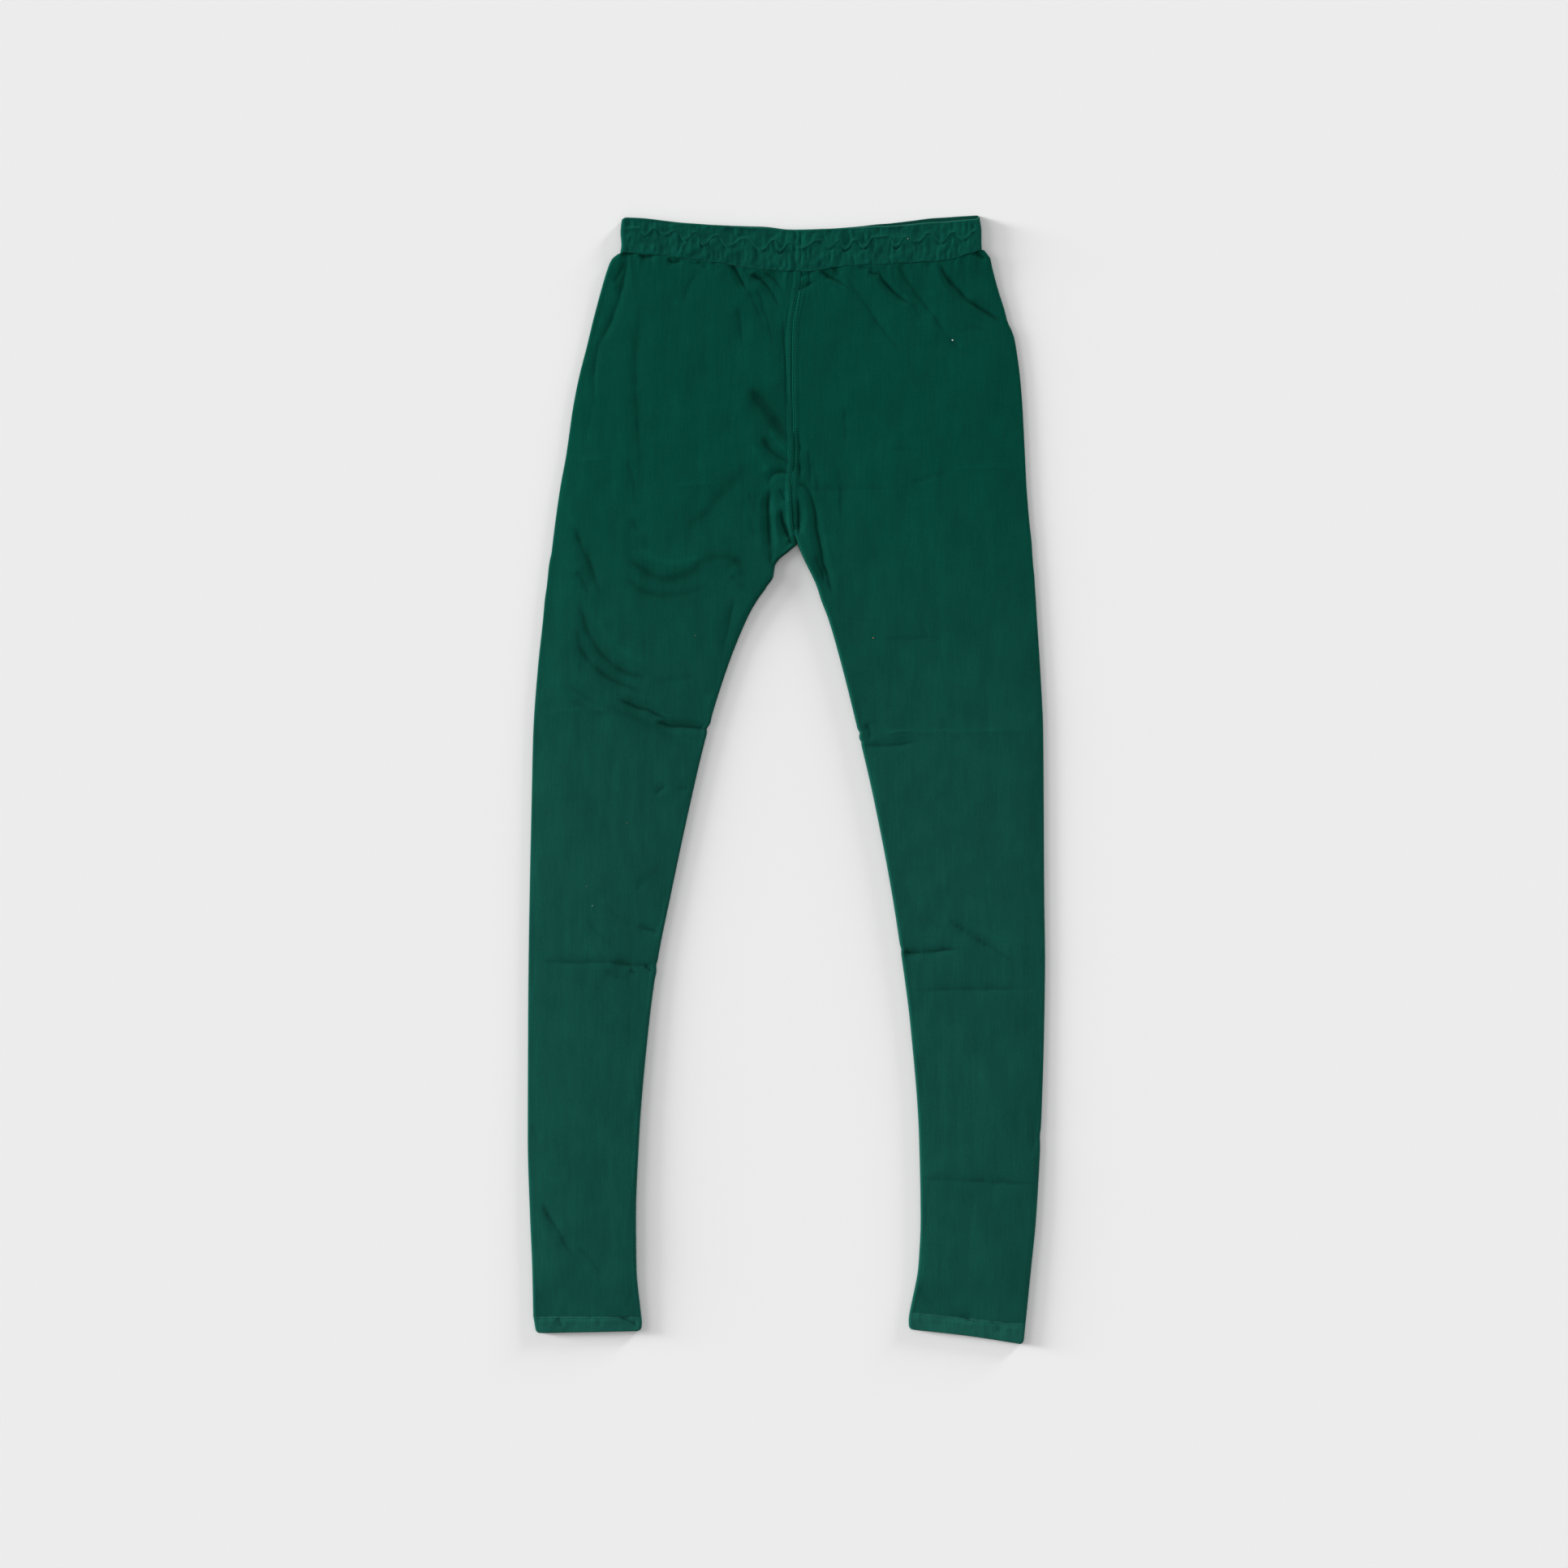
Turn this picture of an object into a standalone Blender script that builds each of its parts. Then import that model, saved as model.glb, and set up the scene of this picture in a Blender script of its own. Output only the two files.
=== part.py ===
"""Churidar pants in jersey, laid flat on a surface with the front up.

The tables are in millimetres and the meshes in metres. +X is the wearer's left, +Y points to the
waist and +Z points up. The origin is under the middle of the garment, on the surface it lies on.
Each leg is one panel that wraps from the centre-front seam round the outer fold to the
centre-back seam. An elasticated waistband and two turned hems are pieces of their own.
"""

import math

import bmesh
import bpy

MM = 0.001

# Cloth
SEAM_GAP = 0.3
LEG_WALL = 1.2
LEG_FOLD = 3.2
BAND_WALL = 2.4
BAND_FOLD = 5.4
HEM_WALL = 1.5
HEM_FOLD = 3.4
LAYER_CLEARANCE = 0.4

# Loft of a leg's front layer above its folded edges, and how far from an edge it builds up
LOFT = 2.4
LOFT_REACH = 30.0
LOFT_AT_BAND = 0.3
LOFT_AT_HEM = 0.3
EDGE_REACH = 8.0

# Levels along the legs
HEM_LEVEL = -516.0
KNEE_LEVEL = -17.0
CROTCH_LEVEL = 226.0
BAND_LEVEL = 498.0
INSEAM_OPEN_LEVEL = 246.0
INSEAM_CLOSED_LEVEL = 212.0
LEAST_CLOSURE = 0.001
HEM_TILT_REACH = 130.0
HEM_LOFT_REACH = 60.0
BAND_CURVE_REACH = 110.0
BAND_RISE_REACH = 26.0

# Grid of a leg panel. Rows lie closer above the knee and round the folds that cross a leg.
CALF_ROW_STEP = 50.0
THIGH_ROW_STEP = 16.0
CROSS_FOLD_ROW_STEP = 9.0
FRONT_COLUMNS = 24
BACK_COLUMNS = 2
FOLD_STEPS = 4
CURL_STEPS = 2
FOLD_LINE_STEPS = 8

# Section of a fold, in half widths, and the share of its length that each end takes to rise
FOLD_CUTOFF = 3.0
FOLD_SHOULDER = 0.7
FOLD_END_SHARE = 0.22

# Edges of both legs, a row for each level
LEG_SECTIONS = (
    # level, right_outer, right_inner, left_inner, left_outer
    (-516.0, -243.5, -139.5, 118.5, 230.0),
    (-469.0, -244.5, -144.0, 127.0, 235.0),
    (-422.5, -246.5, -144.5, 129.0, 240.0),
    (-344.5, -248.8, -141.5, 127.5, 244.5),
    (-235.0, -248.5, -132.0, 119.0, 248.0),
    (-173.0, -248.0, -123.5, 111.0, 248.8),
    (-110.5, -247.0, -111.0, 101.5, 248.0),
    (-17.0, -245.0, -91.0, 83.5, 247.5),
    (45.5, -243.5, -76.0, 69.0, 247.0),
    (108.0, -239.0, -56.5, 53.5, 244.0),
    (155.0, -234.0, -37.5, 40.0, 241.0),
    (172.0, -232.5, -28.0, 33.5, 240.0),
    (186.0, -230.5, -18.0, 29.0, 239.0),
    (195.0, -229.5, -12.5, 25.0, 238.5),
    (205.0, -228.5, -11.0, 20.0, 237.5),
    (211.0, -227.5, -7.5, 17.0, 237.0),
    (218.0, -226.0, 1.0, 14.0, 236.5),
    (226.0, -225.0, 10.5, 10.5, 236.0),
    (250.0, -222.0, 5.5, 5.5, 233.5),
    (281.0, -217.5, 4.5, 4.5, 231.0),
    (311.0, -212.0, 7.0, 7.0, 229.5),
    (359.0, -205.0, 6.0, 6.0, 227.0),
    (389.0, -199.0, 5.5, 5.5, 224.5),
    (415.0, -192.0, 5.5, 5.5, 220.5),
    (436.0, -186.5, 6.0, 6.0, 213.5),
    (463.0, -178.5, 9.5, 9.5, 203.5),
    (482.0, -172.5, 12.5, 12.5, 198.0),
    (490.5, -169.0, 14.0, 14.0, 196.0),
    (494.0, -166.5, 14.2, 14.2, 193.5),
    (498.0, -161.0, 14.5, 14.5, 190.0),
)

INSEAM_SECTIONS = [row for row in LEG_SECTIONS if row[0] <= CROTCH_LEVEL]
SEAM_SECTIONS = [row for row in LEG_SECTIONS if row[0] >= CROTCH_LEVEL]

# Waistband edges across the front, from the wearer's right side to the left one
BAND_SECTIONS = (
    # x, lower_y, upper_y, front_dip (how far the front's top edge lies below the back's)
    (-159.0, 506.0, 540.3, 0.0),
    (-140.0, 504.5, 540.0, 0.0),
    (-116.0, 502.5, 537.0, 0.0),
    (-70.0, 497.0, 533.3, 0.0),
    (-28.0, 489.5, 532.2, 1.2),
    (14.5, 488.0, 528.6, 0.0),
    (62.0, 493.5, 531.3, 1.0),
    (110.0, 495.5, 536.3, 3.2),
    (150.0, 497.5, 540.7, 4.2),
    (187.0, 509.0, 542.8, 3.6),
)

BAND_CENTRE = BAND_SECTIONS[5]

# Turned hems, a row for each corner
HEM_CORNERS = {
    # leg: corner: (x, y)
    "right": {
        "inner_top": (-139.5, -516.0),
        "outer_top": (-243.5, -516.0),
        "inner_bottom": (-140.0, -530.3),
        "outer_bottom": (-240.8, -532.2),
    },
    "left": {
        "inner_top": (118.5, -512.0),
        "outer_top": (230.0, -523.0),
        "inner_bottom": (118.2, -529.0),
        "outer_bottom": (228.0, -542.8),
    },
}

# Folds of the front layer. Each runs through three points; a trough has a negative height.
FOLDS = (
    # name, start_x, start_y, middle_x, middle_y, end_x, end_y, height, half_width
    ("side gather", -155, 502, -176, 425, -195, 318, -1.6, 9),
    ("right short gather", -108, 503, -112, 480, -122, 455, 1.0, 8),
    ("right gather", -84, 502, -94, 476, -98, 446, -1.2, 8),
    ("front gather", -56, 506, -36, 466, -20, 410, -2.2, 8),
    ("centre gather", -36, 500, -14, 466, -3, 436, -2.2, 8),
    ("seam valley", -4, 452, 0, 400, 1, 350, -1.2, 7),
    ("press line", -140, 464, -144, 360, -140, 290, -1.1, 8),
    ("fly gather", 24, 500, 46, 480, 64, 464, -2.2, 8),
    ("left gather", 52, 496, 80, 448, 112, 404, -1.8, 8),
    ("left short gather", 84, 504, 102, 472, 124, 452, -2.2, 8),
    ("left long gather", 100, 506, 130, 460, 176, 402, -1.7, 8),
    ("left side gather", 140, 508, 170, 469, 212, 434, -2.8, 9),
    ("left side ridge", 150, 484, 176, 452, 204, 420, 1.2, 8),
    ("rise trough", -36, 378, -11, 350, 4, 320, -2.6, 9),
    ("rise ridge", -28, 360, -8, 335, 4, 316, 1.6, 7),
    ("rise lower trough", -31, 341, -14, 325, 6, 306, -2.3, 8),
    ("seam side trough", 9, 345, 12, 314, 13, 280, -1.6, 7),
    ("crotch outer trough", -17, 286, -18, 250, -15, 200, -2.4, 7),
    ("crotch outer ridge", -11, 284, -12, 250, -7, 216, 1.6, 6),
    ("crotch inner trough", -4, 282, -3, 250, 3, 228, -2.2, 6),
    ("crotch seam ridge", 3, 292, 4, 262, 7, 232, 1.6, 5),
    ("crotch left trough", 11, 272, 13, 250, 12, 232, -2.2, 6),
    ("crotch left arc", 8, 286, 26, 262, 31, 230, -1.6, 7),
    ("left thigh trough", 28, 268, 35, 212, 48, 166, -2.0, 7),
    ("left press line", 50, 300, 54, 240, 52, 140, -1.0, 7),
    ("thigh wide trough", -42, 300, -68, 262, -98, 242, -1.2, 14),
    ("smile fold", -156, 216, -114, 191, -46, 215, -2.4, 9),
    ("smile ridge", -146, 224, -112, 206, -66, 222, 1.2, 8),
    ("lower smile fold", -156, 194, -115, 177, -70, 189, -1.7, 8),
    ("outer diagonal", -210, 256, -192, 216, -176, 176, -1.7, 8),
    ("thigh arc", -201, 168, -176, 122, -116, 93, -2.3, 9),
    ("thigh lower arc", -213, 178, -184, 110, -128, 83, -2.0, 8),
    ("knee fold", -174, 80, -142, 70, -110, 59, -1.8, 8),
    ("knee crease", -130, 50, -100, 51, -70, 49, -2.4, 7),
    ("knee lower fold", -182, 72, -134, 51, -88, 25, -1.6, 10),
    ("right calf crease", -238, -173, -180, -175, -124, -176, -1.1, 8),
    ("right ankle fold", -236, -404, -219, -438, -205, -460, -1.6, 9),
    ("left knee crease", 72, 33, 108, 33, 152, 34, -1.5, 8),
    ("left calf crease", 107, -163, 132, -164, 166, -163, -1.8, 8),
    ("left calf diagonal", 156, -135, 190, -158, 218, -176, -1.2, 9),
    ("left calf press line", 116, -201, 180, -201, 243, -201, -0.9, 8),
    ("left ankle press line", 128, -385, 186, -386, 242, -387, -1.0, 8),
)

# Levels of the folds that run straight across a leg; each gets rows of its own
CROSS_FOLD_LEVELS = {
    "right": (51.0, -175.0),
    "left": (33.0, -163.0, -201.0, -386.0),
}

# Gathers of the waistband's front: uneven waves, pinched where the stitch rows cross them
BAND_GATHERS = 25
COLUMNS_PER_GATHER = 4
GATHER_HEIGHT = 0.75
GATHER_HEIGHT_SWAY = 0.35
GATHER_SWAY_RATE = 1.7
GATHER_WIDTH_SWAYS = ((4.5, 0.009), (11.5, 0.005))
GATHER_END_COLUMNS = 3
BAND_ROWS = (
    # share of the band's depth, share of the gathers' height
    (0.0, 0.55),
    (0.12, 0.3),
    (0.4, 1.0),
    (0.66, 0.45),
    (1.0, 0.6),
)

# Turned hems
HEM_COLUMNS = 8
HEM_ROWS = (0.0, 0.5, 1.0)
HEM_SWELL = 0.35

# Finish, linear RGB
CLOTH_COLOURS = {
    "leg_panel_right": (0.0052, 0.0612, 0.0452),
    "leg_panel_left": (0.0052, 0.0612, 0.0452),
    "waistband": (0.0045, 0.0545, 0.0405),
    "hem_right": (0.0085, 0.0803, 0.0612),
    "hem_left": (0.0085, 0.0803, 0.0612),
}
CLOTH_ROUGHNESS = 0.92
SHARP_ANGLE = math.radians(50)


def clear_scene():
    for obj in list(bpy.data.objects):
        bpy.data.objects.remove(obj, do_unlink=True)


def smooth(t):
    """Rises from 0 to 1 with level ends."""
    t = min(max(t, 0.0), 1.0)
    return t * t * (3.0 - 2.0 * t)


def mix(a, b, t):
    return a + (b - a) * t


def curve(rows, column, at):
    """Reads a column of a table on a smooth curve that never overshoots its rows."""
    places = [row[0] for row in rows]
    values = [row[column] for row in rows]
    if at <= places[0]:
        return values[0]
    if at >= places[-1]:
        return values[-1]
    last = len(rows) - 1
    steps = [places[k + 1] - places[k] for k in range(last)]
    slopes = [(values[k + 1] - values[k]) / steps[k] for k in range(last)]

    def tangent(k):
        if k in (0, last):
            return slopes[min(k, last - 1)]
        before, after = slopes[k - 1], slopes[k]
        if before * after <= 0.0:
            return 0.0
        return 2.0 * before * after / (before + after)

    k = max(i for i in range(last) if places[i] <= at)
    t = (at - places[k]) / steps[k]
    return (
        (2 * t**3 - 3 * t**2 + 1) * values[k]
        + (t**3 - 2 * t**2 + t) * steps[k] * tangent(k)
        + (3 * t**2 - 2 * t**3) * values[k + 1]
        + (t**3 - t**2) * steps[k] * tangent(k + 1)
    )


def band_lower_edge(x, frontness):
    """The waistband's lower edge: curved on the front, two straight runs on the back."""
    side = BAND_SECTIONS[0] if x < BAND_CENTRE[0] else BAND_SECTIONS[-1]
    share = min((x - BAND_CENTRE[0]) / (side[0] - BAND_CENTRE[0]), 1.0)
    back = mix(BAND_CENTRE[1], side[1], share)
    return mix(back, curve(BAND_SECTIONS, 1, x), frontness)


def fold_line(start, middle, end):
    """Points along a parabola that passes through three points."""
    bend = [2.0 * middle[i] - 0.5 * (start[i] + end[i]) for i in (0, 1)]
    points = []
    for k in range(FOLD_LINE_STEPS + 1):
        t = k / FOLD_LINE_STEPS
        points.append([
            (1 - t) ** 2 * start[i] + 2 * t * (1 - t) * bend[i] + t * t * end[i]
            for i in (0, 1)
        ])
    return points


def nearest_on_line(points, x, y):
    """Distance to a line of points, and how far along it the nearest place lies."""
    best = (1e9, 0.0)
    for k in range(len(points) - 1):
        (ax, ay), (bx, by) = points[k], points[k + 1]
        run_x, run_y = bx - ax, by - ay
        t = ((x - ax) * run_x + (y - ay) * run_y) / (run_x**2 + run_y**2)
        t = min(max(t, 0.0), 1.0)
        away = math.hypot(x - ax - t * run_x, y - ay - t * run_y)
        if away < best[0]:
            best = (away, (k + t) / (len(points) - 1))
    return best


FOLD_LINES = [
    (fold_line(row[1:3], row[3:5], row[5:7]), row[7], row[8]) for row in FOLDS
]


def fold_relief(x, y):
    """Height that the folds add at a place: a soft trough with a low shoulder on each side."""
    total = 0.0
    for points, height, half_width in FOLD_LINES:
        away, along = nearest_on_line(points, x, y)
        q = away / half_width
        if q > FOLD_CUTOFF:
            continue
        ends = smooth(along / FOLD_END_SHARE) * smooth((1.0 - along) / FOLD_END_SHARE)
        total += height * ends * (1.0 - FOLD_SHOULDER * q * q) * math.exp(-q * q)
    return total


class Leg:
    """Edges and level changes of one leg. The sign is the direction from inner to outer edge."""

    def __init__(self, name, sign, inner_column, outer_column):
        self.name = name
        self.sign = sign
        self.inner_column = inner_column
        self.outer_column = outer_column
        corners = HEM_CORNERS[name]
        self.hem_inner_lift = corners["inner_top"][1] - HEM_LEVEL
        self.hem_outer_lift = corners["outer_top"][1] - HEM_LEVEL

    def inner(self, level):
        """The inseam below the crotch, and the centre seam above it."""
        rows = SEAM_SECTIONS if level >= CROTCH_LEVEL else INSEAM_SECTIONS
        return curve(rows, self.inner_column, level) + self.sign * SEAM_GAP / 2

    def outer(self, level):
        return curve(LEG_SECTIONS, self.outer_column, level)

    def y(self, level, x, frontness):
        """Rows bend to follow the waistband above and the hem below."""
        share = (x - self.inner(level)) / (self.outer(level) - self.inner(level))
        at_hem = smooth(1.0 - (level - HEM_LEVEL) / HEM_TILT_REACH)
        at_band = smooth(1.0 - (BAND_LEVEL - level) / BAND_CURVE_REACH)
        hem_lift = mix(self.hem_inner_lift, self.hem_outer_lift, share) + SEAM_GAP / 2
        band_lift = band_lower_edge(x, frontness) - BAND_LEVEL - SEAM_GAP / 2
        return level + at_hem * hem_lift + at_band * band_lift


LEGS = (
    Leg("right", -1, inner_column=2, outer_column=1),
    Leg("left", 1, inner_column=3, outer_column=4),
)


def row_levels(leg):
    """Each section's level, rows between them, and three rows for each fold across the leg."""
    sections = [row[0] for row in LEG_SECTIONS]
    levels = []
    for low, high in zip(sections, sections[1:]):
        step = CALF_ROW_STEP if low < KNEE_LEVEL else THIGH_ROW_STEP
        count = max(1, round((high - low) / step))
        levels += [mix(low, high, k / count) for k in range(count)]
    levels.append(sections[-1])
    for fold_level in CROSS_FOLD_LEVELS[leg.name]:
        levels = [level for level in levels if abs(level - fold_level) > 2 * CROSS_FOLD_ROW_STEP]
        levels += [fold_level + k * CROSS_FOLD_ROW_STEP for k in (-1, 0, 1)]
    return sorted(levels)


def band_nearness(level):
    return math.exp(-(BAND_LEVEL - level) / BAND_RISE_REACH)


def leg_fold_height(level):
    """Height of the folded edge: thin along the leg, as thick as the waistband beside it."""
    return mix(LEG_FOLD, BAND_FOLD, band_nearness(level))


def inseam_closure(level):
    """0 where front and back meet the other leg, 1 where they meet each other."""
    return smooth((INSEAM_OPEN_LEVEL - level) / (INSEAM_OPEN_LEVEL - INSEAM_CLOSED_LEVEL))


def front_height(x, y, level, from_inner, from_outer):
    """Top of a leg's front layer."""
    closure = inseam_closure(level)
    outer_build = 1.0 - math.exp(-from_outer / LOFT_REACH)
    inner_build = 1.0 - closure * math.exp(-from_inner / LOFT_REACH)
    loft = mix(LOFT_AT_HEM, LOFT, smooth((level - HEM_LEVEL) / HEM_LOFT_REACH))
    loft = mix(loft, LOFT_AT_BAND, band_nearness(level)) * outer_build * inner_build
    edges = smooth(from_outer / EDGE_REACH) * mix(1.0, smooth(from_inner / EDGE_REACH), closure)
    ends = smooth((BAND_LEVEL - level) / EDGE_REACH) * smooth((level - HEM_LEVEL) / EDGE_REACH)
    height = leg_fold_height(level) + loft + edges * ends * fold_relief(x, y)
    return max(height, 2 * LEG_WALL + LAYER_CLEARANCE)


def leg_section(leg, level):
    """Outer and inner points round one leg, from the front's inner end to the back's."""
    inner_x, outer_x = leg.inner(level), leg.outer(level)
    radius = leg_fold_height(level) / 2
    closure = max(inseam_closure(level), LEAST_CLOSURE)
    curl_radius = radius / closure
    full_turn = closure * (math.pi / 2 - math.asin(SEAM_GAP / 2 / radius))
    start_x = inner_x + leg.sign * curl_radius * math.sin(full_turn)
    end_x = outer_x - leg.sign * radius
    outer_line, inner_line = [], []

    def add(x, z, away, up):
        y = leg.y(level, x, 0.5 + 0.5 * up)
        outer_line.append((x, y, z))
        inner_line.append((x - leg.sign * away * LEG_WALL, y, z - up * LEG_WALL))

    def top(x):
        from_inner = max(0.0, leg.sign * (x - start_x))
        from_outer = max(0.0, leg.sign * (end_x - x))
        return front_height(x, leg.y(level, x, 1.0), level, from_inner, from_outer)

    for k in range(CURL_STEPS):
        turn = full_turn * (1.0 - k / CURL_STEPS)
        x = start_x - leg.sign * curl_radius * math.sin(turn)
        z = top(start_x) - curl_radius * (1.0 - math.cos(turn))
        add(x, z, -math.sin(turn), math.cos(turn))
    for k in range(FRONT_COLUMNS + 1):
        x = mix(start_x, end_x, k / FRONT_COLUMNS)
        add(x, top(x), 0.0, 1.0)
    for k in range(1, FOLD_STEPS):
        turn = math.pi / 2 - math.pi * k / FOLD_STEPS
        x = end_x + leg.sign * radius * math.cos(turn)
        add(x, radius + radius * math.sin(turn), math.cos(turn), math.sin(turn))
    for k in range(BACK_COLUMNS + 1):
        add(mix(end_x, start_x, k / BACK_COLUMNS), 0.0, 0.0, -1.0)
    for k in range(1, CURL_STEPS + 1):
        turn = full_turn * k / CURL_STEPS
        x = start_x - leg.sign * curl_radius * math.sin(turn)
        add(x, curl_radius * (1.0 - math.cos(turn)), -math.sin(turn), -math.cos(turn))
    return outer_line, inner_line


def ring_section(left, right, row_y, top, wall, fold, front_xs, back_xs):
    """Outer and inner points round a flattened tube. Front y and height come from functions."""
    radius = fold / 2
    outer_line, inner_line = [], []

    def add(x, z, away, up):
        y = row_y(x, 0.5 + 0.5 * up)
        outer_line.append((x, y, z))
        inner_line.append((x - away * wall, y, z - up * wall))

    for x in front_xs:
        add(x, top(x), 0.0, 1.0)
    for k in range(1, FOLD_STEPS):
        turn = math.pi / 2 - math.pi * k / FOLD_STEPS
        x = right - radius + radius * math.cos(turn)
        add(x, radius + radius * math.sin(turn), math.cos(turn), math.sin(turn))
    for x in back_xs:
        add(x, 0.0, 0.0, -1.0)
    for k in range(1, FOLD_STEPS):
        turn = -math.pi / 2 + math.pi * k / FOLD_STEPS
        x = left + radius - radius * math.cos(turn)
        add(x, radius + radius * math.sin(turn), -math.cos(turn), math.sin(turn))
    return outer_line, inner_line


def wall_object(name, sections, is_ring):
    """A closed wall between the outer and the inner points of its sections."""
    mesh = bmesh.new()
    grids = []
    for side in (0, 1):
        grids.append([
            [mesh.verts.new([value * MM for value in point]) for point in section[side]]
            for section in sections
        ])
    outer, inner = grids
    rows, columns = len(outer), len(outer[0])
    steps = columns if is_ring else columns - 1
    for i in range(rows - 1):
        for j in range(steps):
            n = (j + 1) % columns
            mesh.faces.new((outer[i][j], outer[i][n], outer[i + 1][n], outer[i + 1][j]))
            mesh.faces.new((inner[i][j], inner[i + 1][j], inner[i + 1][n], inner[i][n]))
    for i in (0, rows - 1):
        for j in range(steps):
            n = (j + 1) % columns
            mesh.faces.new((outer[i][j], inner[i][j], inner[i][n], outer[i][n]))
    if not is_ring:
        for j in (0, columns - 1):
            for i in range(rows - 1):
                mesh.faces.new((outer[i][j], outer[i + 1][j], inner[i + 1][j], inner[i][j]))
    bmesh.ops.recalc_face_normals(mesh, faces=mesh.faces)
    data = bpy.data.meshes.new(name)
    mesh.to_mesh(data)
    mesh.free()
    data.shade_smooth()
    data.set_sharp_from_angle(angle=SHARP_ANGLE)
    data.materials.append(cloth_material(name))
    obj = bpy.data.objects.new(name, data)
    bpy.context.scene.collection.objects.link(obj)
    return obj


def cloth_material(name):
    material = bpy.data.materials.new(name + "_jersey")
    material.use_nodes = True
    shader = material.node_tree.nodes["Principled BSDF"]
    shader.inputs["Base Color"].default_value = (*CLOTH_COLOURS[name], 1.0)
    shader.inputs["Roughness"].default_value = CLOTH_ROUGHNESS
    shader.inputs["Metallic"].default_value = 0.0
    return material


def make_leg_panel(leg):
    sections = [leg_section(leg, level) for level in row_levels(leg)]
    return wall_object("leg_panel_" + leg.name, sections, is_ring=False)


def gather_places(left, right):
    """Columns across the band, four to a gather, with the gathers unevenly wide."""
    count = BAND_GATHERS * COLUMNS_PER_GATHER
    places = []
    for k in range(count + 1):
        t = k / count
        fade = math.sin(math.pi * t)
        sway = sum(reach * math.sin(2 * math.pi * waves * t) for waves, reach in GATHER_WIDTH_SWAYS)
        places.append(mix(left, right, t + fade * sway))
    return places


def make_waistband():
    left, right = BAND_SECTIONS[0][0], BAND_SECTIONS[-1][0]
    radius = BAND_FOLD / 2
    columns = gather_places(left + radius, right - radius)
    back_columns = [right - radius] + [row[0] for row in BAND_SECTIONS[-2:0:-1]] + [left + radius]
    sections = []
    for share, pinch in BAND_ROWS:

        def row_y(x, frontness, share=share):
            low = band_lower_edge(x, frontness) + SEAM_GAP / 2
            high = curve(BAND_SECTIONS, 2, x) - frontness * curve(BAND_SECTIONS, 3, x)
            return mix(low, high, share)

        def top(x, pinch=pinch):
            k = columns.index(x)
            gather = k / COLUMNS_PER_GATHER
            strength = 1.0 + GATHER_HEIGHT_SWAY * math.sin(GATHER_SWAY_RATE * gather)
            wave = 0.5 + 0.5 * strength * math.sin(2.0 * math.pi * gather)
            from_end = min(k, len(columns) - 1 - k)
            return BAND_FOLD + GATHER_HEIGHT * pinch * wave * smooth(from_end / GATHER_END_COLUMNS)

        sections.append(
            ring_section(left, right, row_y, top, BAND_WALL, BAND_FOLD, columns, back_columns)
        )
    return wall_object("waistband", sections, is_ring=True)


def make_hem(leg):
    corners = HEM_CORNERS[leg.name]
    ends = ("inner", "outer") if leg.sign > 0 else ("outer", "inner")
    radius = HEM_FOLD / 2
    sections = []
    for share in HEM_ROWS:
        low, high = (
            [mix(corners[end + "_top"][i], corners[end + "_bottom"][i], share) for i in (0, 1)]
            for end in ends
        )
        lift = -SEAM_GAP / 2 * (1.0 - share)

        def row_y(x, frontness, low=low, high=high, lift=lift):
            return mix(low[1], high[1], (x - low[0]) / (high[0] - low[0])) + lift

        def top(x, low=low, high=high):
            across = (x - low[0] - radius) / (high[0] - low[0] - 2 * radius)
            return HEM_FOLD + HEM_SWELL * math.sin(math.pi * min(max(across, 0.0), 1.0))

        columns = [
            mix(low[0] + radius, high[0] - radius, k / HEM_COLUMNS)
            for k in range(HEM_COLUMNS + 1)
        ]
        back_columns = [columns[-1], columns[0]]
        sections.append(
            ring_section(low[0], high[0], row_y, top, HEM_WALL, HEM_FOLD, columns, back_columns)
        )
    return wall_object("hem_" + leg.name, sections, is_ring=True)


def build():
    clear_scene()
    for leg in LEGS:
        make_leg_panel(leg)
        make_hem(leg)
    make_waistband()


build()
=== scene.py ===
"""Churidar pants in dark green jersey, laid flat with the front up and seen from straight above.

The tables are in millimetres and the meshes in metres. +X is the wearer's left, +Y points to the
waist and +Z points up. Each leg is one shell of cloth that wraps from the centre-front seam round
the outer fold to the centre-back seam, with its creases, seams and stitches on it.
"""

import math

import bmesh
import bpy
import numpy as np
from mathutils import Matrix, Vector


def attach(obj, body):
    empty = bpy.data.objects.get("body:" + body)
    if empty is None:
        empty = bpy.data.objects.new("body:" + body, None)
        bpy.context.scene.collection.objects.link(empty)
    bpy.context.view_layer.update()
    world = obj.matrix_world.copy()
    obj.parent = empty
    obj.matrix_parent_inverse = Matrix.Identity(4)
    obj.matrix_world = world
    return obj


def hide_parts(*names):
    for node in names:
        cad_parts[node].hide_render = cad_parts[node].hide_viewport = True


MM = 0.001

# Picture: the whole frame is this wide at the cloth, and its middle lies here
FRAME_WIDTH = 1507.0
FRAME_MIDDLE = (-2.3, -4.3)
LENS = 85.0
SENSOR = 36.0
CLOTH_TOP = 4.0

# Light: an even fill from all round, and soft lights that lie low beside the garment
FILL_STRENGTH = 0.429
LIGHTS = (
    # name, compass turn from the wearer's right towards the waist, elevation, width, strength
    ("key", 12.0, 17.0, 28.0, 2.54),
    ("low_key", 12.0, 6.4, 12.5, 7.0),
    ("low_rim", 135.0, 6.4, 12.5, 3.85),
)
FLOOR_COLOUR = (0.8, 0.8, 0.8)
FLOOR_REACH = 6.0

# Cloth
SEAM_GAP = 0.06
LEG_WALL = 1.2
LEG_FOLD = 2.8
ANKLE_FOLD = 3.9
BAND_WALL = 2.4
BAND_FOLD = 5.4
HEM_WALL = 1.5
HEM_FOLD = 3.9
LAYER_CLEARANCE = 0.4

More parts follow.
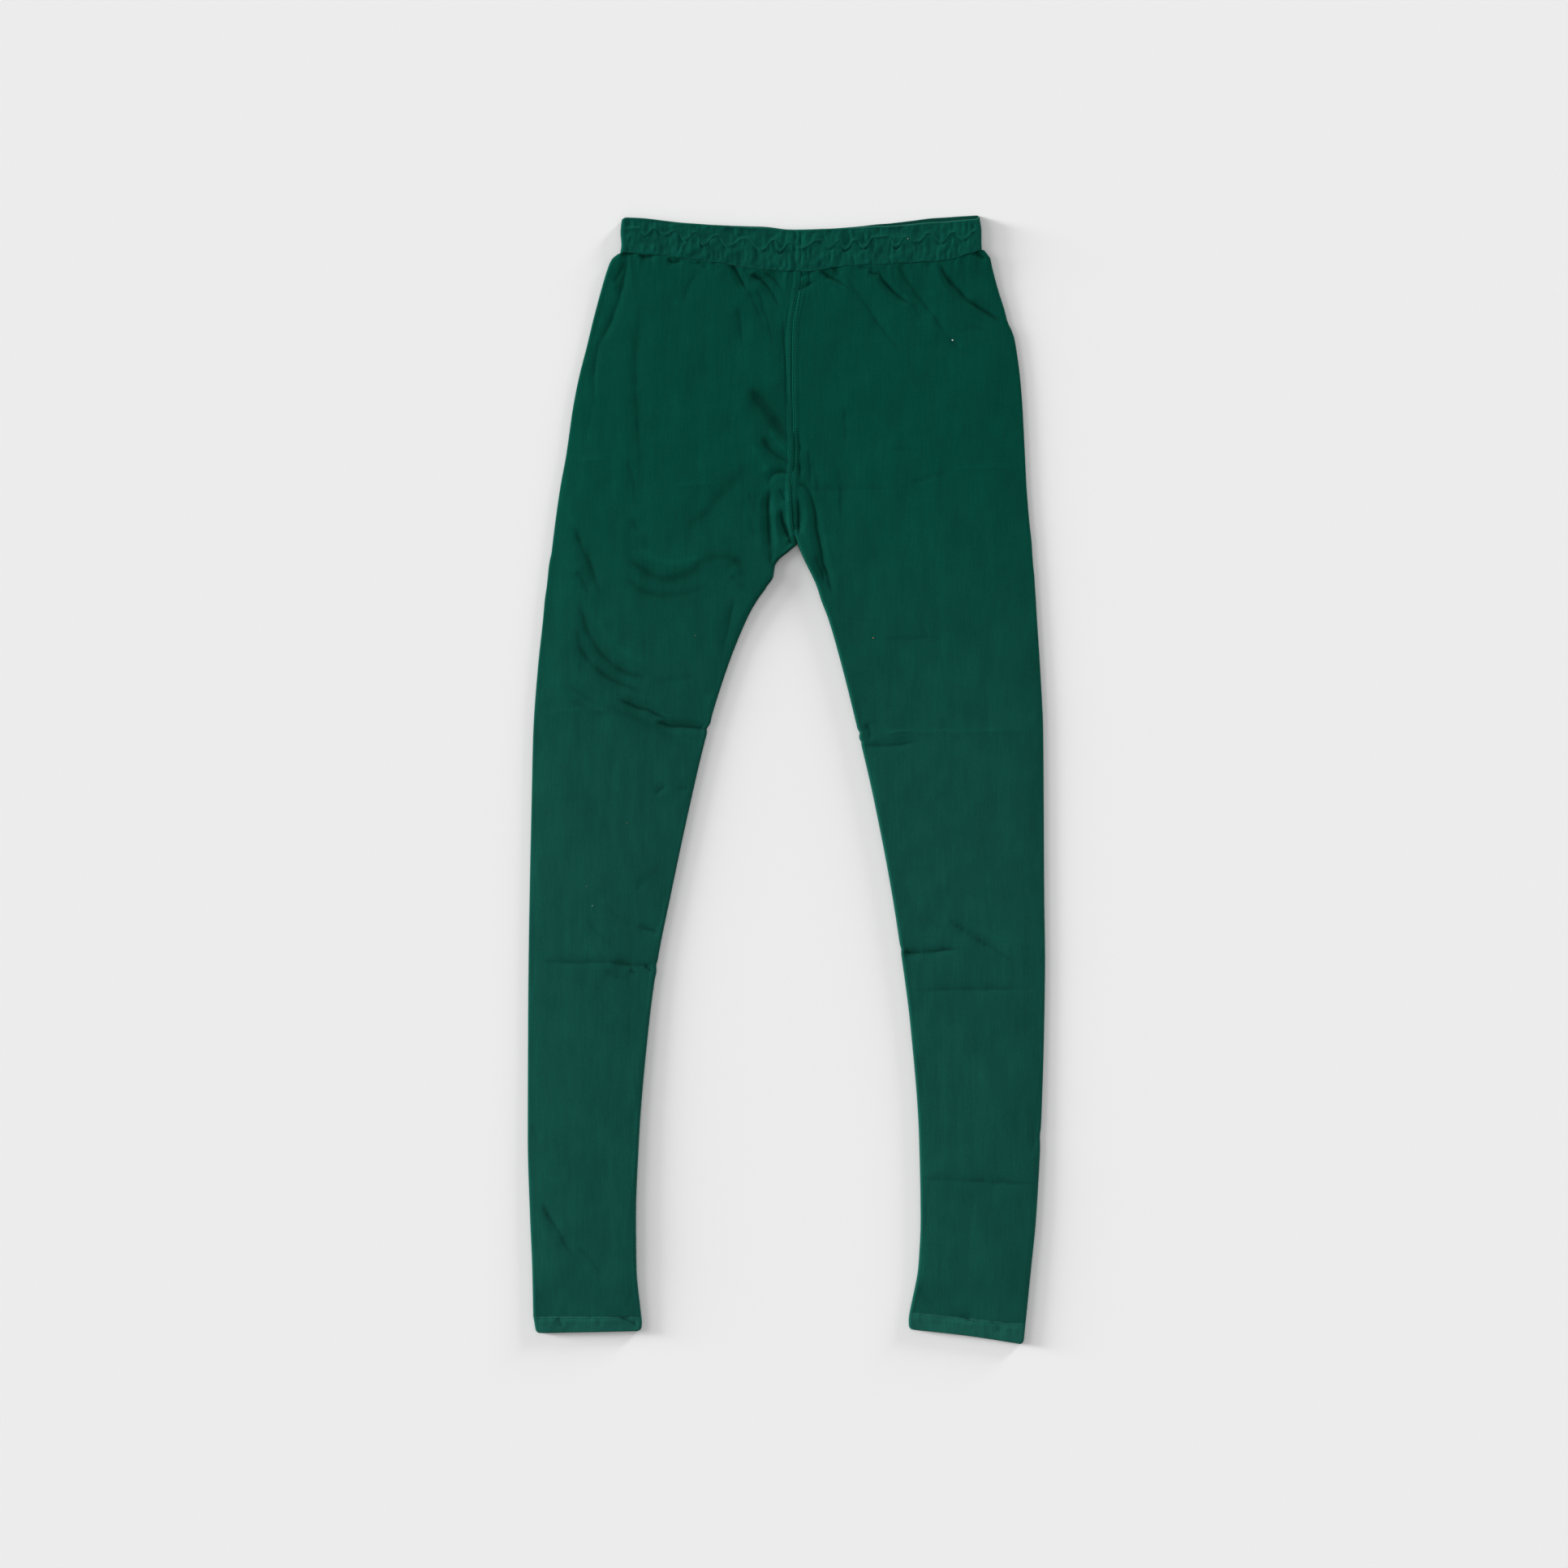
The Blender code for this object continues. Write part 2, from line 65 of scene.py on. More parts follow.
# Loft of a leg's front layer above its folded edges, and how far from an edge it builds up
LOFT = 2.4
LOFT_REACH = 30.0
LOFT_AT_BAND = 0.3
LOFT_AT_HEM = 0.3
EDGE_REACH = 4.0

# Levels along the legs
HEM_LEVEL = -516.0
CROTCH_LEVEL = 226.0
BAND_LEVEL = 498.0
INSEAM_OPEN_LEVEL = 246.0
INSEAM_CLOSED_LEVEL = 212.0
HEM_TILT_REACH = 130.0
ANKLE_REACH = 300.0
HEM_LOFT_REACH = 60.0
BAND_CURVE_REACH = 110.0
BAND_RISE_REACH = 26.0

# Grid of a leg's shell: relative steps between its rows by level, closer columns beside the
# inseam, and how much coarser the inside of the cloth is
ROWS = 500
ROW_STEPS = (
    # level, step
    (-516.0, 3.6),
    (-40.0, 3.6),
    (0.0, 1.6),
    (100.0, 1.6),
    (150.0, 1.9),
    (210.0, 1.5),
    (370.0, 1.5),
    (410.0, 1.8),
    (450.0, 1.1),
    (498.0, 0.9),
)
CROSS_ROW_STEP = 0.9
END_ROW = 0.25
CROSS_REACH = 3.5
FRONT_STEPS = 156
CLOSE_COLUMNS = 0.8
CLOSE_REACH = 0.3
BACK_STEPS = 16
FOLD_STEPS = 6
CURL_STEPS = 3
INSIDE_STEP = 4

# Levels of the creases that run straight across a leg, where its rows lie closer
CROSS_LEVELS = {
    "right": (67.0, 50.0, -145.0, -176.0, -184.0),
    "left": (135.0, 45.0, 34.0, -164.0, -202.0, -386.0),
}

# Edges of both legs, a row for each level
LEG_SECTIONS = (
    # level, right_outer, right_inner, left_inner, left_outer
    (-516.0, -243.5, -139.5, 118.5, 230.0),
    (-469.0, -244.5, -144.0, 127.0, 235.0),
    (-422.5, -246.5, -144.5, 129.0, 240.0),
    (-344.5, -248.8, -141.5, 127.5, 244.5),
    (-235.0, -248.5, -132.0, 119.0, 248.0),
    (-173.0, -248.0, -123.5, 111.0, 248.8),
    (-110.5, -247.0, -111.0, 101.5, 248.0),
    (-17.0, -245.0, -91.0, 83.5, 247.5),
    (45.5, -243.5, -76.0, 69.0, 247.0),
    (108.0, -239.0, -56.5, 53.5, 244.0),
    (155.0, -234.0, -37.5, 40.0, 241.0),
    (172.0, -232.5, -28.0, 33.5, 240.0),
    (186.0, -230.5, -18.0, 29.0, 239.0),
    (195.0, -229.5, -12.5, 25.0, 238.5),
    (205.0, -228.5, -11.0, 20.0, 237.5),
    (211.0, -227.5, -7.5, 17.0, 237.0),
    (218.0, -226.0, 1.0, 14.0, 236.5),
    (226.0, -225.0, 10.5, 10.5, 236.0),
    (250.0, -222.0, 5.5, 5.5, 233.5),
    (281.0, -217.5, 4.5, 4.5, 231.0),
    (311.0, -212.0, 7.0, 7.0, 229.5),
    (359.0, -205.0, 6.0, 6.0, 227.0),
    (389.0, -199.0, 5.5, 5.5, 224.5),
    (415.0, -192.0, 5.5, 5.5, 220.5),
    (436.0, -186.5, 6.0, 6.0, 213.5),
    (463.0, -178.5, 9.5, 9.5, 203.5),
    (482.0, -172.5, 12.5, 12.5, 198.0),
    (490.5, -169.0, 14.0, 14.0, 196.0),
    (494.0, -166.5, 14.2, 14.2, 193.5),
    (498.0, -161.0, 14.5, 14.5, 190.0),
)

INSEAM_SECTIONS = [row for row in LEG_SECTIONS if row[0] <= CROTCH_LEVEL]
SEAM_SECTIONS = [row for row in LEG_SECTIONS if row[0] >= CROTCH_LEVEL]

# How far the inseam stands above the outer fold
INSEAM_RISES = (
    # level, right, left
    (-516.0, 0.2, 0.1),
    (-440.0, 1.6, 0.9),
    (-300.0, 1.6, 1.5),
    (-100.0, 0.9, 2.3),
    (120.0, 0.9, 2.4),
    (195.0, 2.9, 2.9),
    (498.0, 2.9, 2.9),
)

# Small nicks and curls of the legs' edges; a positive depth cuts into the leg
NICKS = (
    # leg, edge, level, depth, half_height
    ("right", "inner", 186.0, 0.4, 3.0),
    ("right", "inner", 49.0, 1.3, 2.6),
    ("right", "inner", 55.0, -0.5, 4.0),
    ("right", "inner", -178.0, 0.7, 3.0),
    ("right", "inner", -186.0, -0.5, 4.0),
    ("left", "inner", 45.0, 1.2, 2.4),
    ("left", "inner", 38.0, -0.5, 4.0),
    ("left", "inner", 36.0, 0.9, 2.2),
    ("left", "inner", -163.0, 0.7, 2.6),
    ("left", "outer", -343.0, 0.7, 7.0),
    ("left", "outer", 437.0, 0.9, 6.0),
    ("left", "outer", 424.0, -0.6, 8.0),
)

# Waistband edges across the front, from the wearer's right side to the left one
BAND_SECTIONS = (
    # x, lower_y, upper_y, front_dip (how far the front's top edge lies below the back's)
    (-159.0, 506.0, 540.3, 0.0),
    (-140.0, 504.5, 540.0, 0.0),
    (-116.0, 502.5, 537.0, 0.0),
    (-70.0, 497.0, 533.3, 0.0),
    (-28.0, 489.5, 532.2, 1.2),
    (14.5, 488.0, 528.6, 0.0),
    (62.0, 493.5, 531.3, 1.0),
    (110.0, 495.5, 536.3, 3.2),
    (150.0, 497.5, 540.7, 4.2),
    (187.0, 509.0, 542.8, 3.6),
)

BAND_CENTRE = BAND_SECTIONS[5]

# Sides of the waistband, from its lower edge to its top
BAND_SIDES = (
    # share of the depth, shift of the right side, shift of the left side
    (0.0, -0.8, 0.9),
    (0.25, 0.3, 0.6),
    (0.6, -0.5, 0.5),
    (0.85, 0.1, -0.6),
    (1.0, 0.9, -1.4),
)

# Sides of the turned hems
HEM_CORNERS = {
    # leg: edge: top corner, lower corner
    "right": {
        "inner": ((-139.5, -516.0), (-140.0, -530.3)),
        "outer": ((-243.5, -516.0), (-240.8, -532.2)),
    },
    "left": {
        "inner": ((118.5, -512.0), (118.2, -529.0)),
        "outer": ((230.0, -523.0), (228.0, -542.8)),
    },
}

# How far the middle of a hem's lower edge lies above its corners, and the round of the corners
HEM_BOW = {"right": 0.0, "left": 1.2}
HEM_CORNER_ROUND = 3.4
HEM_CORNER_SHARE = 0.24
HEM_BULGE = 0.8

# Creases of the front layer. Each runs through three points; a trough has a negative height,
# and its lip is how far the cloth beside it stands up, as a share of its height.
CREASES = (
    # start_x, start_y, middle_x, middle_y, end_x, end_y, height, half_width, lip
    # Right leg: gathers below the waistband
    (-151, 507, -163, 456, -183, 414, -1.1, 2.6, 0.3),
    (-180, 424, -184, 398, -186, 358, -0.9, 2.4, 0.2),
    (-185, 370, -188, 348, -196, 322, -0.4, 3.5, 0.0),
    (-154, 500, -160, 486, -166, 476, -0.8, 2.5, 0.0),
    (-83, 492, -93, 475, -98, 457, -0.6, 3.0, 0.0),
    (-86, 499, -80, 494, -75, 489, -0.7, 2.2, 0.2),
    (-72, 500, -67, 494, -62, 489, -0.8, 2.2, 0.2),
    (-56, 500, -47, 486, -37, 468, -1.6, 2.6, 0.5),
    (-37, 472, -29, 454, -20, 430, -0.7, 3.2, 0.2),
    (-35, 486, -19, 476, -5, 450, -1.5, 3.0, 0.5),
    (-23, 488, -11, 480, -2, 467, -1.0, 2.6, 0.2),
    (-30, 475, -21, 451, -11, 414, -0.7, 3.5, 0.1),
    (-5, 453, 0, 398, 2, 347, -0.9, 2.6, 0.1),
    (-48, 457, -44, 437, -42, 415, -0.5, 3.0, 0.0),
    # Right leg: press lines of the hip
    (-140, 467, -144, 383, -140, 289, -0.5, 4.6, 0.1),
    (-147, 431, -145, 383, -143, 312, -0.4, 2.5, 0.0),
    (-155, 311, -147, 284, -144, 259, -0.6, 4.0, 0.1),
    (-147, 252, -144, 244, -139, 237, -0.5, 3.0, 0.0),
    # Fan of folds at the rise
    (-38, 378, -15, 350, 3, 322, -1.9, 8.5, 0.5),
    (-17, 338, -7, 323, 6, 311, 0.8, 3.6, 0.0),
    (-23, 331, -13, 314, 5, 304, -1.8, 5.0, 0.3),
    (-34, 324, -23, 305, -15, 289, 0.8, 6.0, 0.0),
    (9, 340, 12, 314, 12, 283, -1.3, 2.6, 0.2),
    (20, 319, 23, 297, 21, 280, -0.6, 2.2, 0.1),
    # Folds round the crotch
    (-18, 280, -11, 294, 6, 293, -1.3, 3.0, 0.4),
    (-16, 283, -17, 246, -14, 200, -2.0, 3.2, 0.6),
    (-12, 280, -12, 242, -5, 217, 0.7, 4.2, 0.0),
    (-6, 280, -4, 272, 0, 266, -1.0, 2.6, 0.0),
    (-5, 261, -2, 244, 5, 228, -2.2, 3.2, 0.2),
    (0, 231, 5, 228, 12, 229, -1.2, 2.2, 0.0),
    (1, 290, 4, 258, 7, 234, 0.9, 3.6, 0.0),
    (11, 272, 12, 252, 12, 234, -2.2, 2.8, 0.3),
    (16, 273, 18, 250, 18, 228, 0.4, 4.0, 0.0),
    (8, 284, 23, 273, 31, 231, -1.3, 3.0, 0.4),
    # Left leg: troughs and press lines beside the crotch
    (27, 264, 32, 225, 46, 174, -1.8, 3.0, 0.5),
    (27, 216, 32, 203, 37, 186, -0.9, 2.4, 0.1),
    (54, 359, 57, 336, 58, 322, -0.5, 3.0, 0.1),
    (48, 300, 53, 277, 51, 250, -0.5, 4.0, 0.1),
    (50, 247, 53, 207, 51, 152, -0.3, 4.5, 0.0),
    (24, 312, 29, 289, 30, 272, -0.5, 3.5, 0.0),
    # Left leg: gathers below the waistband
    (30, 489, 44, 482, 62, 470, -1.6, 2.6, 0.5),
    (30, 480, 16, 473, 7, 464, -1.1, 2.6, 0.2),
    (27, 476, 29, 468, 30, 459, -0.2, 2.5, 0.0),
    (43, 495, 48, 489, 52, 482, -0.8, 2.4, 0.1),
    (58, 482, 80, 450, 112, 406, -0.8, 3.0, 0.3),
    (68, 493, 77, 491, 88, 492, -0.7, 2.4, 0.0),
    (87, 492, 101, 471, 121, 457, -1.7, 2.6, 0.6),
    (118, 459, 127, 448, 133, 434, -0.5, 3.0, 0.0),
    (102, 500, 127, 464, 143, 443, -0.9, 3.0, 0.3),
    (140, 448, 155, 426, 175, 404, -0.7, 3.2, 0.2),
    (145, 497, 171, 465, 209, 439, -2.1, 2.8, 0.8),
    (179, 510, 186, 504, 195, 501, -1.6, 2.4, 0.4),
    (129, 437, 129, 429, 130, 422, -0.4, 3.0, 0.0),
    (165, 428, 180, 434, 197, 428, -0.4, 4.0, 0.0),
    # Dips right below the waistband
    (-159, 506, -151, 505, -143, 506, -1.6, 2.2, 0.2),
    (-143, 504, -134, 502, -126, 504, -1.6, 2.2, 0.2),
    (-115, 501, -107, 497, -95, 501, -1.6, 2.2, 0.2),
    (-96, 498, -88, 496, -80, 496, -0.5, 2.2, 0.0),
    (-34, 486, -27, 482, -18, 483, -1.0, 2.4, 0.0),
    (10, 487, 18, 485, 26, 487, -0.7, 2.2, 0.1),
    (30, 488, 36, 484, 42, 480, -1.0, 2.2, 0.1),
    (78, 489, 84, 486, 90, 487, -1.1, 2.2, 0.1),
    # Right thigh: soft hollows, then the curved folds
    (-38, 305, -65, 271, -98, 240, -0.9, 11.0, 0.0),
    (-36, 277, -30, 262, -24, 247, -0.5, 4.0, 0.0),
    (-36, 253, -32, 241, -28, 227, -0.5, 4.0, 0.0),
    (-54, 198, -46, 189, -37, 180, -0.5, 5.0, 0.0),
    (-153, 216, -116, 193, -78, 210, -1.5, 8.5, 0.4),
    (-92, 203, -62, 214, -40, 203, -0.8, 7.5, 0.2),
    (-144, 225, -115, 208, -79, 216, 0.7, 7.0, 0.0),
    (-155, 195, -122, 177, -72, 188, -0.9, 6.5, 0.3),
    (-53, 213, -44, 203, -40, 190, -0.45, 5.5, 0.0),
    (-207, 246, -193, 216, -177, 174, -1.1, 4.2, 0.4),
    (-202, 202, -196, 191, -190, 178, -0.8, 3.5, 0.2),
    (-200, 175, -176, 119, -132, 99, -1.15, 5.0, 0.5),
    (-190, 172, -164, 130, -127, 112, 0.5, 6.5, 0.0),
    (-202, 148, -186, 109, -136, 84, -1.25, 4.2, 0.4),
    (-132, 96, -108, 96, -88, 102, -0.4, 5.0, 0.0),
    (-210, 92, -197, 82, -183, 72, -0.5, 5.0, 0.0),
    # Right knee
    (-163, 77, -138, 68, -113, 57, -1.5, 3.0, 0.4),
    (-127, 54, -102, 51, -66, 47, -1.8, 2.8, 0.4),
    (-180, 71, -135, 53, -91, 25, -0.55, 7.5, 0.2),
    (-210, 77, -193, 69, -172, 60, -0.6, 6.0, 0.2),
    # Right leg: inseam, and press lines across it
    (-49, 180, -55, 147, -64, 113, -0.6, 2.6, 0.3),
    (-69, 86, -71, 72, -74, 57, 0.6, 2.6, 0.0),
    (-199, 308, -185, 307, -169, 308, 0.35, 2.2, 0.0),
    (-113, 280, -88, 284, -63, 285, 0.3, 2.4, 0.0),
    (-235, 63, -200, 67, -160, 66, 0.3, 2.4, 0.0),
    # Right calf
    (-128, -14, -122, -10, -115, -5, -0.6, 2.2, 0.2),
    (-104, -9, -99, -9, -93, -11, -0.5, 2.0, 0.1),
    (-146, -106, -135, -96, -120, -84, -0.5, 2.4, 0.2),
    (-145, -142, -132, -145, -122, -148, -0.9, 2.4, 0.3),
    (-193, -134, -177, -151, -163, -168, -0.5, 3.5, 0.1),
    (-177, -118, -160, -134, -143, -142, -0.35, 3.0, 0.0),
    (-236, -174, -197, -176, -149, -174, -0.8, 2.4, 0.4),
    (-170, -175, -150, -178, -129, -177, -1.3, 3.0, 0.3),
    (-151, -181, -147, -185, -143, -184, -0.9, 2.2, 0.2),
    (-136, -178, -132, -182, -127, -186, -1.0, 2.2, 0.2),
    (-176, -182, -166, -188, -155, -191, -0.5, 4.0, 0.0),
    (-218, -191, -194, -196, -163, -209, -0.3, 4.0, 0.0),
    # Right ankle, and pulls at the hems
    (-236, -405, -221, -433, -205, -458, -1.2, 3.8, 0.5),
    (-199, -447, -188, -463, -174, -479, -0.5, 3.6, 0.2),
    (-246, -330, -241, -340, -238, -349, -0.6, 3.0, 0.2),
    (-143, -468, -147, -491, -157, -508, -0.4, 4.0, 0.0),
    (-238, -491, -232, -502, -222, -511, -0.3, 4.0, 0.0),
    (155, -514, 168, -517, 184, -522, -1.1, 2.2, 0.0),
    # Left knee
    (73, 34, 97, 33, 130, 36, -1.1, 2.4, 0.3),
    (87, 45, 121, 46, 165, 47, 0.45, 2.2, 0.0),
    (150, 46, 196, 47, 244, 48, 0.3, 2.4, 0.0),
    (73, 53, 80, 47, 79, 36, -1.2, 2.4, 0.3),
    # Left leg: press lines across it
    (80, 329, 93, 328, 104, 328, -0.4, 3.0, 0.1),
    (99, 318, 116, 316, 134, 318, -0.45, 3.0, 0.1),
    (15, 280, 63, 279, 113, 280, -0.35, 2.2, 0.0),
    (119, 285, 133, 289, 161, 298, -0.35, 2.6, 0.1),
    (158, 298, 191, 300, 229, 301, 0.35, 2.2, 0.0),
    (90, 135, 121, 135, 154, 138, -0.35, 3.4, 0.1),
    # Left calf
    (109, -164, 124, -166, 172, -162, -1.6, 2.4, 0.4),
    (154, -134, 186, -155, 221, -175, -1.0, 3.0, 0.3),
    (168, -135, 193, -148, 219, -163, 0.3, 5.0, 0.0),
    (116, -202, 177, -202, 243, -200, -0.6, 2.6, 0.3),
    (124, -131, 141, -137, 154, -142, -0.3, 4.0, 0.0),
    # Left ankle
    (127, -383, 183, -386, 243, -389, -0.65, 2.6, 0.3),
    (141, -421, 165, -430, 192, -430, -0.3, 4.0, 0.0),
    (243, -337, 239, -346, 235, -357, -0.5, 2.6, 0.1),
    (126, -483, 135, -499, 149, -508, -0.35, 4.0, 0.0),
)

# Creases of the hems' front
HEM_CREASES = (
    # start_x, start_y, middle_x, middle_y, end_x, end_y, height, half_width, lip
    (-163, -516, -151, -520, -140, -527, -1.1, 2.2, 0.3),
    (155, -514, 168, -517, 184, -522, -1.1, 2.2, 0.3),
    (196, -519, 203, -526, 206, -534, -0.5, 2.4, 0.2),
    (-222, -517, -218, -522, -216, -528, -0.5, 2.4, 0.2),
)

# Creases of the back layer, pressed up into the cloth from below
BACK_CREASES = (
    # start_x, start_y, middle_x, middle_y, end_x, end_y, height, half_width, lip
    (-132, 500, -140, 470, -152, 430, -0.8, 4.0, 0.0),
    (-96, 498, -92, 470, -84, 446, -0.7, 3.5, 0.0),
    (-52, 494, -44, 466, -30, 424, -0.9, 4.0, 0.0),
    (-22, 490, -14, 468, -6, 440, -0.8, 3.5, 0.0),
    (38, 490, 52, 468, 74, 446, -0.9, 4.0, 0.0),
    (84, 496, 96, 462, 116, 420, -0.8, 4.0, 0.0),
    (132, 500, 148, 468, 176, 430, -0.9, 4.5, 0.0),
    (166, 504, 176, 482, 190, 462, -0.7, 3.5, 0.0),
    (-46, 372, -20, 344, 0, 322, -0.9, 6.0, 0.0),
    (54, 360, 34, 332, 14, 314, -0.8, 5.0, 0.0),
    (-110, 292, -64, 270, -12, 262, -0.7, 6.0, 0.0),
    (118, 284, 76, 266, 24, 256, -0.7, 6.0, 0.0),
    (-196, 180, -160, 128, -104, 102, -0.9, 5.0, 0.0),
    (206, 160, 172, 116, 110, 94, -0.8, 5.0, 0.0),
    (-160, 58, -120, 46, -84, 44, -0.9, 4.5, 0.0),
    (-196, 34, -150, 22, -104, 12, -0.6, 5.0, 0.0),
    (80, 40, 122, 34, 176, 40, -0.8, 4.0, 0.0),
    (-236, -176, -184, -178, -134, -174, -0.6, 3.5, 0.0),
    (118, -202, 178, -198, 240, -202, -0.6, 3.5, 0.0),
    (116, -150, 150, -160, 196, -150, -0.6, 4.0, 0.0),
    (-228, -420, -212, -446, -190, -470, -0.6, 4.0, 0.0),
    (134, -386, 186, -384, 236, -388, -0.5, 3.5, 0.0),
)

# Painted shade of the inside of the band and hems, and of edges that face sideways
INSIDE_SHADE = -1.2
EDGE_SHADE = -1.1

# Section and ends of a crease, as shares of its half width and length
CREASE_CORE = 0.62
CREASE_CORE_SHARE = 0.5
CREASE_POWER = 1.6
CREASE_LINE = 0.5
CREASE_LINE_ENDS = 0.14
CREASE_SKIRT = 2.6
CREASE_LIP = 0.35
CREASE_LIP_AT = 2.5
CREASE_ENDS = 0.3
CREASE_TAPER = 0.5
CREASE_REACH = 7.0
CREASE_STEPS = 14
CREASE_RELIEF = (
    # half_width, share of its height that a crease of this width gets as relief
    (2.0, 0.75),
    (3.5, 0.62),
    (6.0, 0.42),
    (10.0, 0.4),
)
# Painted shade of a crease, darker along a trough and lighter along a ridge: its thin line and its soft
# skirt
CREASE_LINE_SHADE = 0.85
CREASE_SKIRT_SHADE = 0.25

# How unevenly a crease runs
CREASE_SWAY = 0.9
CREASE_SWAY_SIZE = 11.0
CREASE_UNEVEN = 0.4

# Soft uneven forms of the cloth
UNEVEN = {
    # name: height, size, stretch along y, seed
    "band lower edge": (0.7, 9.0, 1.0, 5),
    "leg ease": (0.25, 42.0, 1.0, 21),
    "leg small ease": (0.10, 13.0, 1.0, 22),
    "gather lean": (1.5, 14.0, 1.0, 23),
    "gather fine": (0.3, 3.6, 6.0, 24),
    "gather broad": (0.22, 8.0, 5.0, 25),
    "seam side": (0.5, 9.0, 1.0, 26),
    "drape": (1.0, 8.0, 6.0, 27),
    "drape sway": (4.0, 40.0, 1.0, 28),
    "band lean": (2.0, 12.0, 1.0, 41),
    "band fine, low": (1.0, 2.8, 2.6, 42),
    "band fine, high": (1.0, 3.0, 3.4, 43),
    "band broad": (0.26, 7.0, 1.8, 44),
    "band top edge": (0.35, 17.0, 1.0, 46),
    "band back": (1.0, 8.0, 1.0, 47),
    "band blotch": (0.24, 4.6, 1.1, 48),
    "band hollow": (0.5, 6.0, 1.0, 49),
    "hem pucker": (0.22, 4.5, 1.0, 51),
    "hem twist": (0.2, 11.0, 1.0, 52),
}
FRONT_SEED = 11
BACK_SEED = 31
HEM_SEED = 61
LINT_SEED = 71

# Small gathers below the waistband, and the cloth's drape, with a painted shade that follows its relief
GATHER_REACH = 13.0
GATHER_EASE_AT_SEAM = 0.6
GATHER_SEAM_REACH = 1.4
DRAPE_RELIEF = 0.08
DRAPE_SHADE = 0.13

# Centre seam: a raised strip, a groove in its middle and one along each side
SEAM_STRIP = 0.15
SEAM_STRIP_END = 4.2
SEAM_STRIP_SLOPE = 1.8
SEAM_GROOVE = 0.03
SEAM_GROOVE_REACH = 0.8
SEAM_SIDES = {"right": 0.28, "left": 0.15}
SEAM_SIDE_AT = 3.8
SEAM_SIDE_REACH = 0.9
# Painted highlight on the seam's raised strip and painted shade in its grooves
SEAM_SHADE = 1.4

# Groove where a leg meets its hem
ANKLE_GROOVE = 0.08
ANKLE_GROOVE_REACH = 1.5

# Dents of the back layer: the deepest, and how far from an edge they build up
BACK_DENT = 0.9
BACK_EDGE_REACH = 8.0

# Waistband: its steps along the front, along the back and round a fold, and its puckers
BAND_STEPS = (460, 90, 10)
BAND_LIFT = 0.3
BAND_FINE = 0.27
BAND_BACK_PUCKER = 0.5
BAND_RIM = 0.03
BAND_RIM_DROP = 0.35
BAND_CORNER = 1.4
BAND_CORNER_REACH = 2.2

# Hem: its steps, its swell, and the groove and ridge that its stitches draw
HEM_STEPS = (150, 30, 10)
HEM_SWELL = 0.35
HEM_GROOVE = 0.12
HEM_RIDGE = 0.15

# Line of the wavy stitch that holds the elastic, its crests and hollows in turn
STITCH_WAVE = (
    # x, y
    (-153, 529.5), (-142, 530), (-135, 524), (-127, 529.5), (-115, 524), (-107, 528), (-97, 519.5),
    (-88, 526), (-80, 514.5), (-67, 523), (-56, 513), (-39.5, 520), (-23, 509.5), (-12, 518.5),
    (-6, 508.5), (3, 516), (12.5, 510.5), (32, 518), (42, 511.5), (50, 518), (57, 510.5),
    (66, 518.5), (75, 512), (84, 521), (97, 522), (106, 513), (114.5, 521.5), (126, 517),
    (137.5, 525.5), (149, 517), (160, 526), (171, 520), (181, 527),
)
WAVE_ROUNDNESS = 0.7
WAVE_RIDGE = 0.36
WAVE_RIDGE_REACH = 1.7
WAVE_HOLD = 0.6

# Specks of lint on the cloth
LINT = (
    # x, y, size, kind
    (159.7, 422.2, 1.6, "white"),
    (116.8, 519.6, 1.3, "grey"),
    (-87.4, 138.5, 0.9, "tan"),
    (83.5, 136.1, 1.3, "rust"),
    (-152.9, -41.7, 0.9, "tan"),
    (-191.9, -102.6, 0.9, "tan"),
    (-186.4, -121.3, 1.0, "grey"),
)
LINT_COLOURS = {
    "white": (0.50, 0.50, 0.46),
    "grey": (0.22, 0.27, 0.25),
    "tan": (0.20, 0.15, 0.08),
    "rust": (0.30, 0.11, 0.05),
}
LINT_SIDES = 9
LINT_RINGS = 4

# Small pale spots of the cloth
PALE_SPOTS = (
    # x, y, size
    (139.6, 467.6, 2.6),
    (44.5, 471.5, 2.2),
    (-106.1, 458.3, 2.4),
    (125.6, 239.9, 1.6),
    (-145.9, -66.7, 1.6),
)
PALE_SHADE = 0.7

# Stitches: the steps from one to the next, and their length
STITCHES = {
    # place: pitch, length
    "seam": (3.0, 2.3),
    "band": (2.6, 2.0),
    "band back": (3.0, 2.3),
    "hem": (2.8, 2.1),
}
SEAM_STITCH_LEVELS = (238.0, 484.0, 2.0)
SEAM_STITCH_OFFSETS = (-2.7, 2.7)
BAND_STITCH_PLACES = (-152.0, 181.0, 1.0)
BAND_BACK_STITCH_HEIGHTS = (18.0, 5.6)
HEM_STITCH_SHARE = 0.08
THREAD_RADIUS = 0.2
THREAD_SINK = 0.14
THREAD_SIDES = 6
THREAD_STATIONS = (
    # share of the length, size, rise; both in thread radii
    (0.0, 0.35, -0.3),
    (0.18, 0.9, 0.3),
    (0.5, 1.0, 0.6),
    (0.82, 0.9, 0.3),
    (1.0, 0.35, -0.3),
)

# Colours, linear RGB; the legs change from the hip colour to the calf colour between two heights
HIP_COLOUR = (0.0004, 0.0515, 0.0345)
CALF_COLOUR = (0.0042, 0.0590, 0.0437)
HIP_AT = 0.36
CALF_AT = -0.10
BAND_COLOUR = (0.0012, 0.0525, 0.0370)
HEM_COLOUR = (0.0078, 0.0740, 0.0555)
SEAM_THREAD_COLOUR = (0.0030, 0.0690, 0.0500)
HEM_THREAD_COLOUR = (0.0120, 0.1100, 0.0840)
BAND_THREAD_COLOUR = (0.0016, 0.0540, 0.0385)

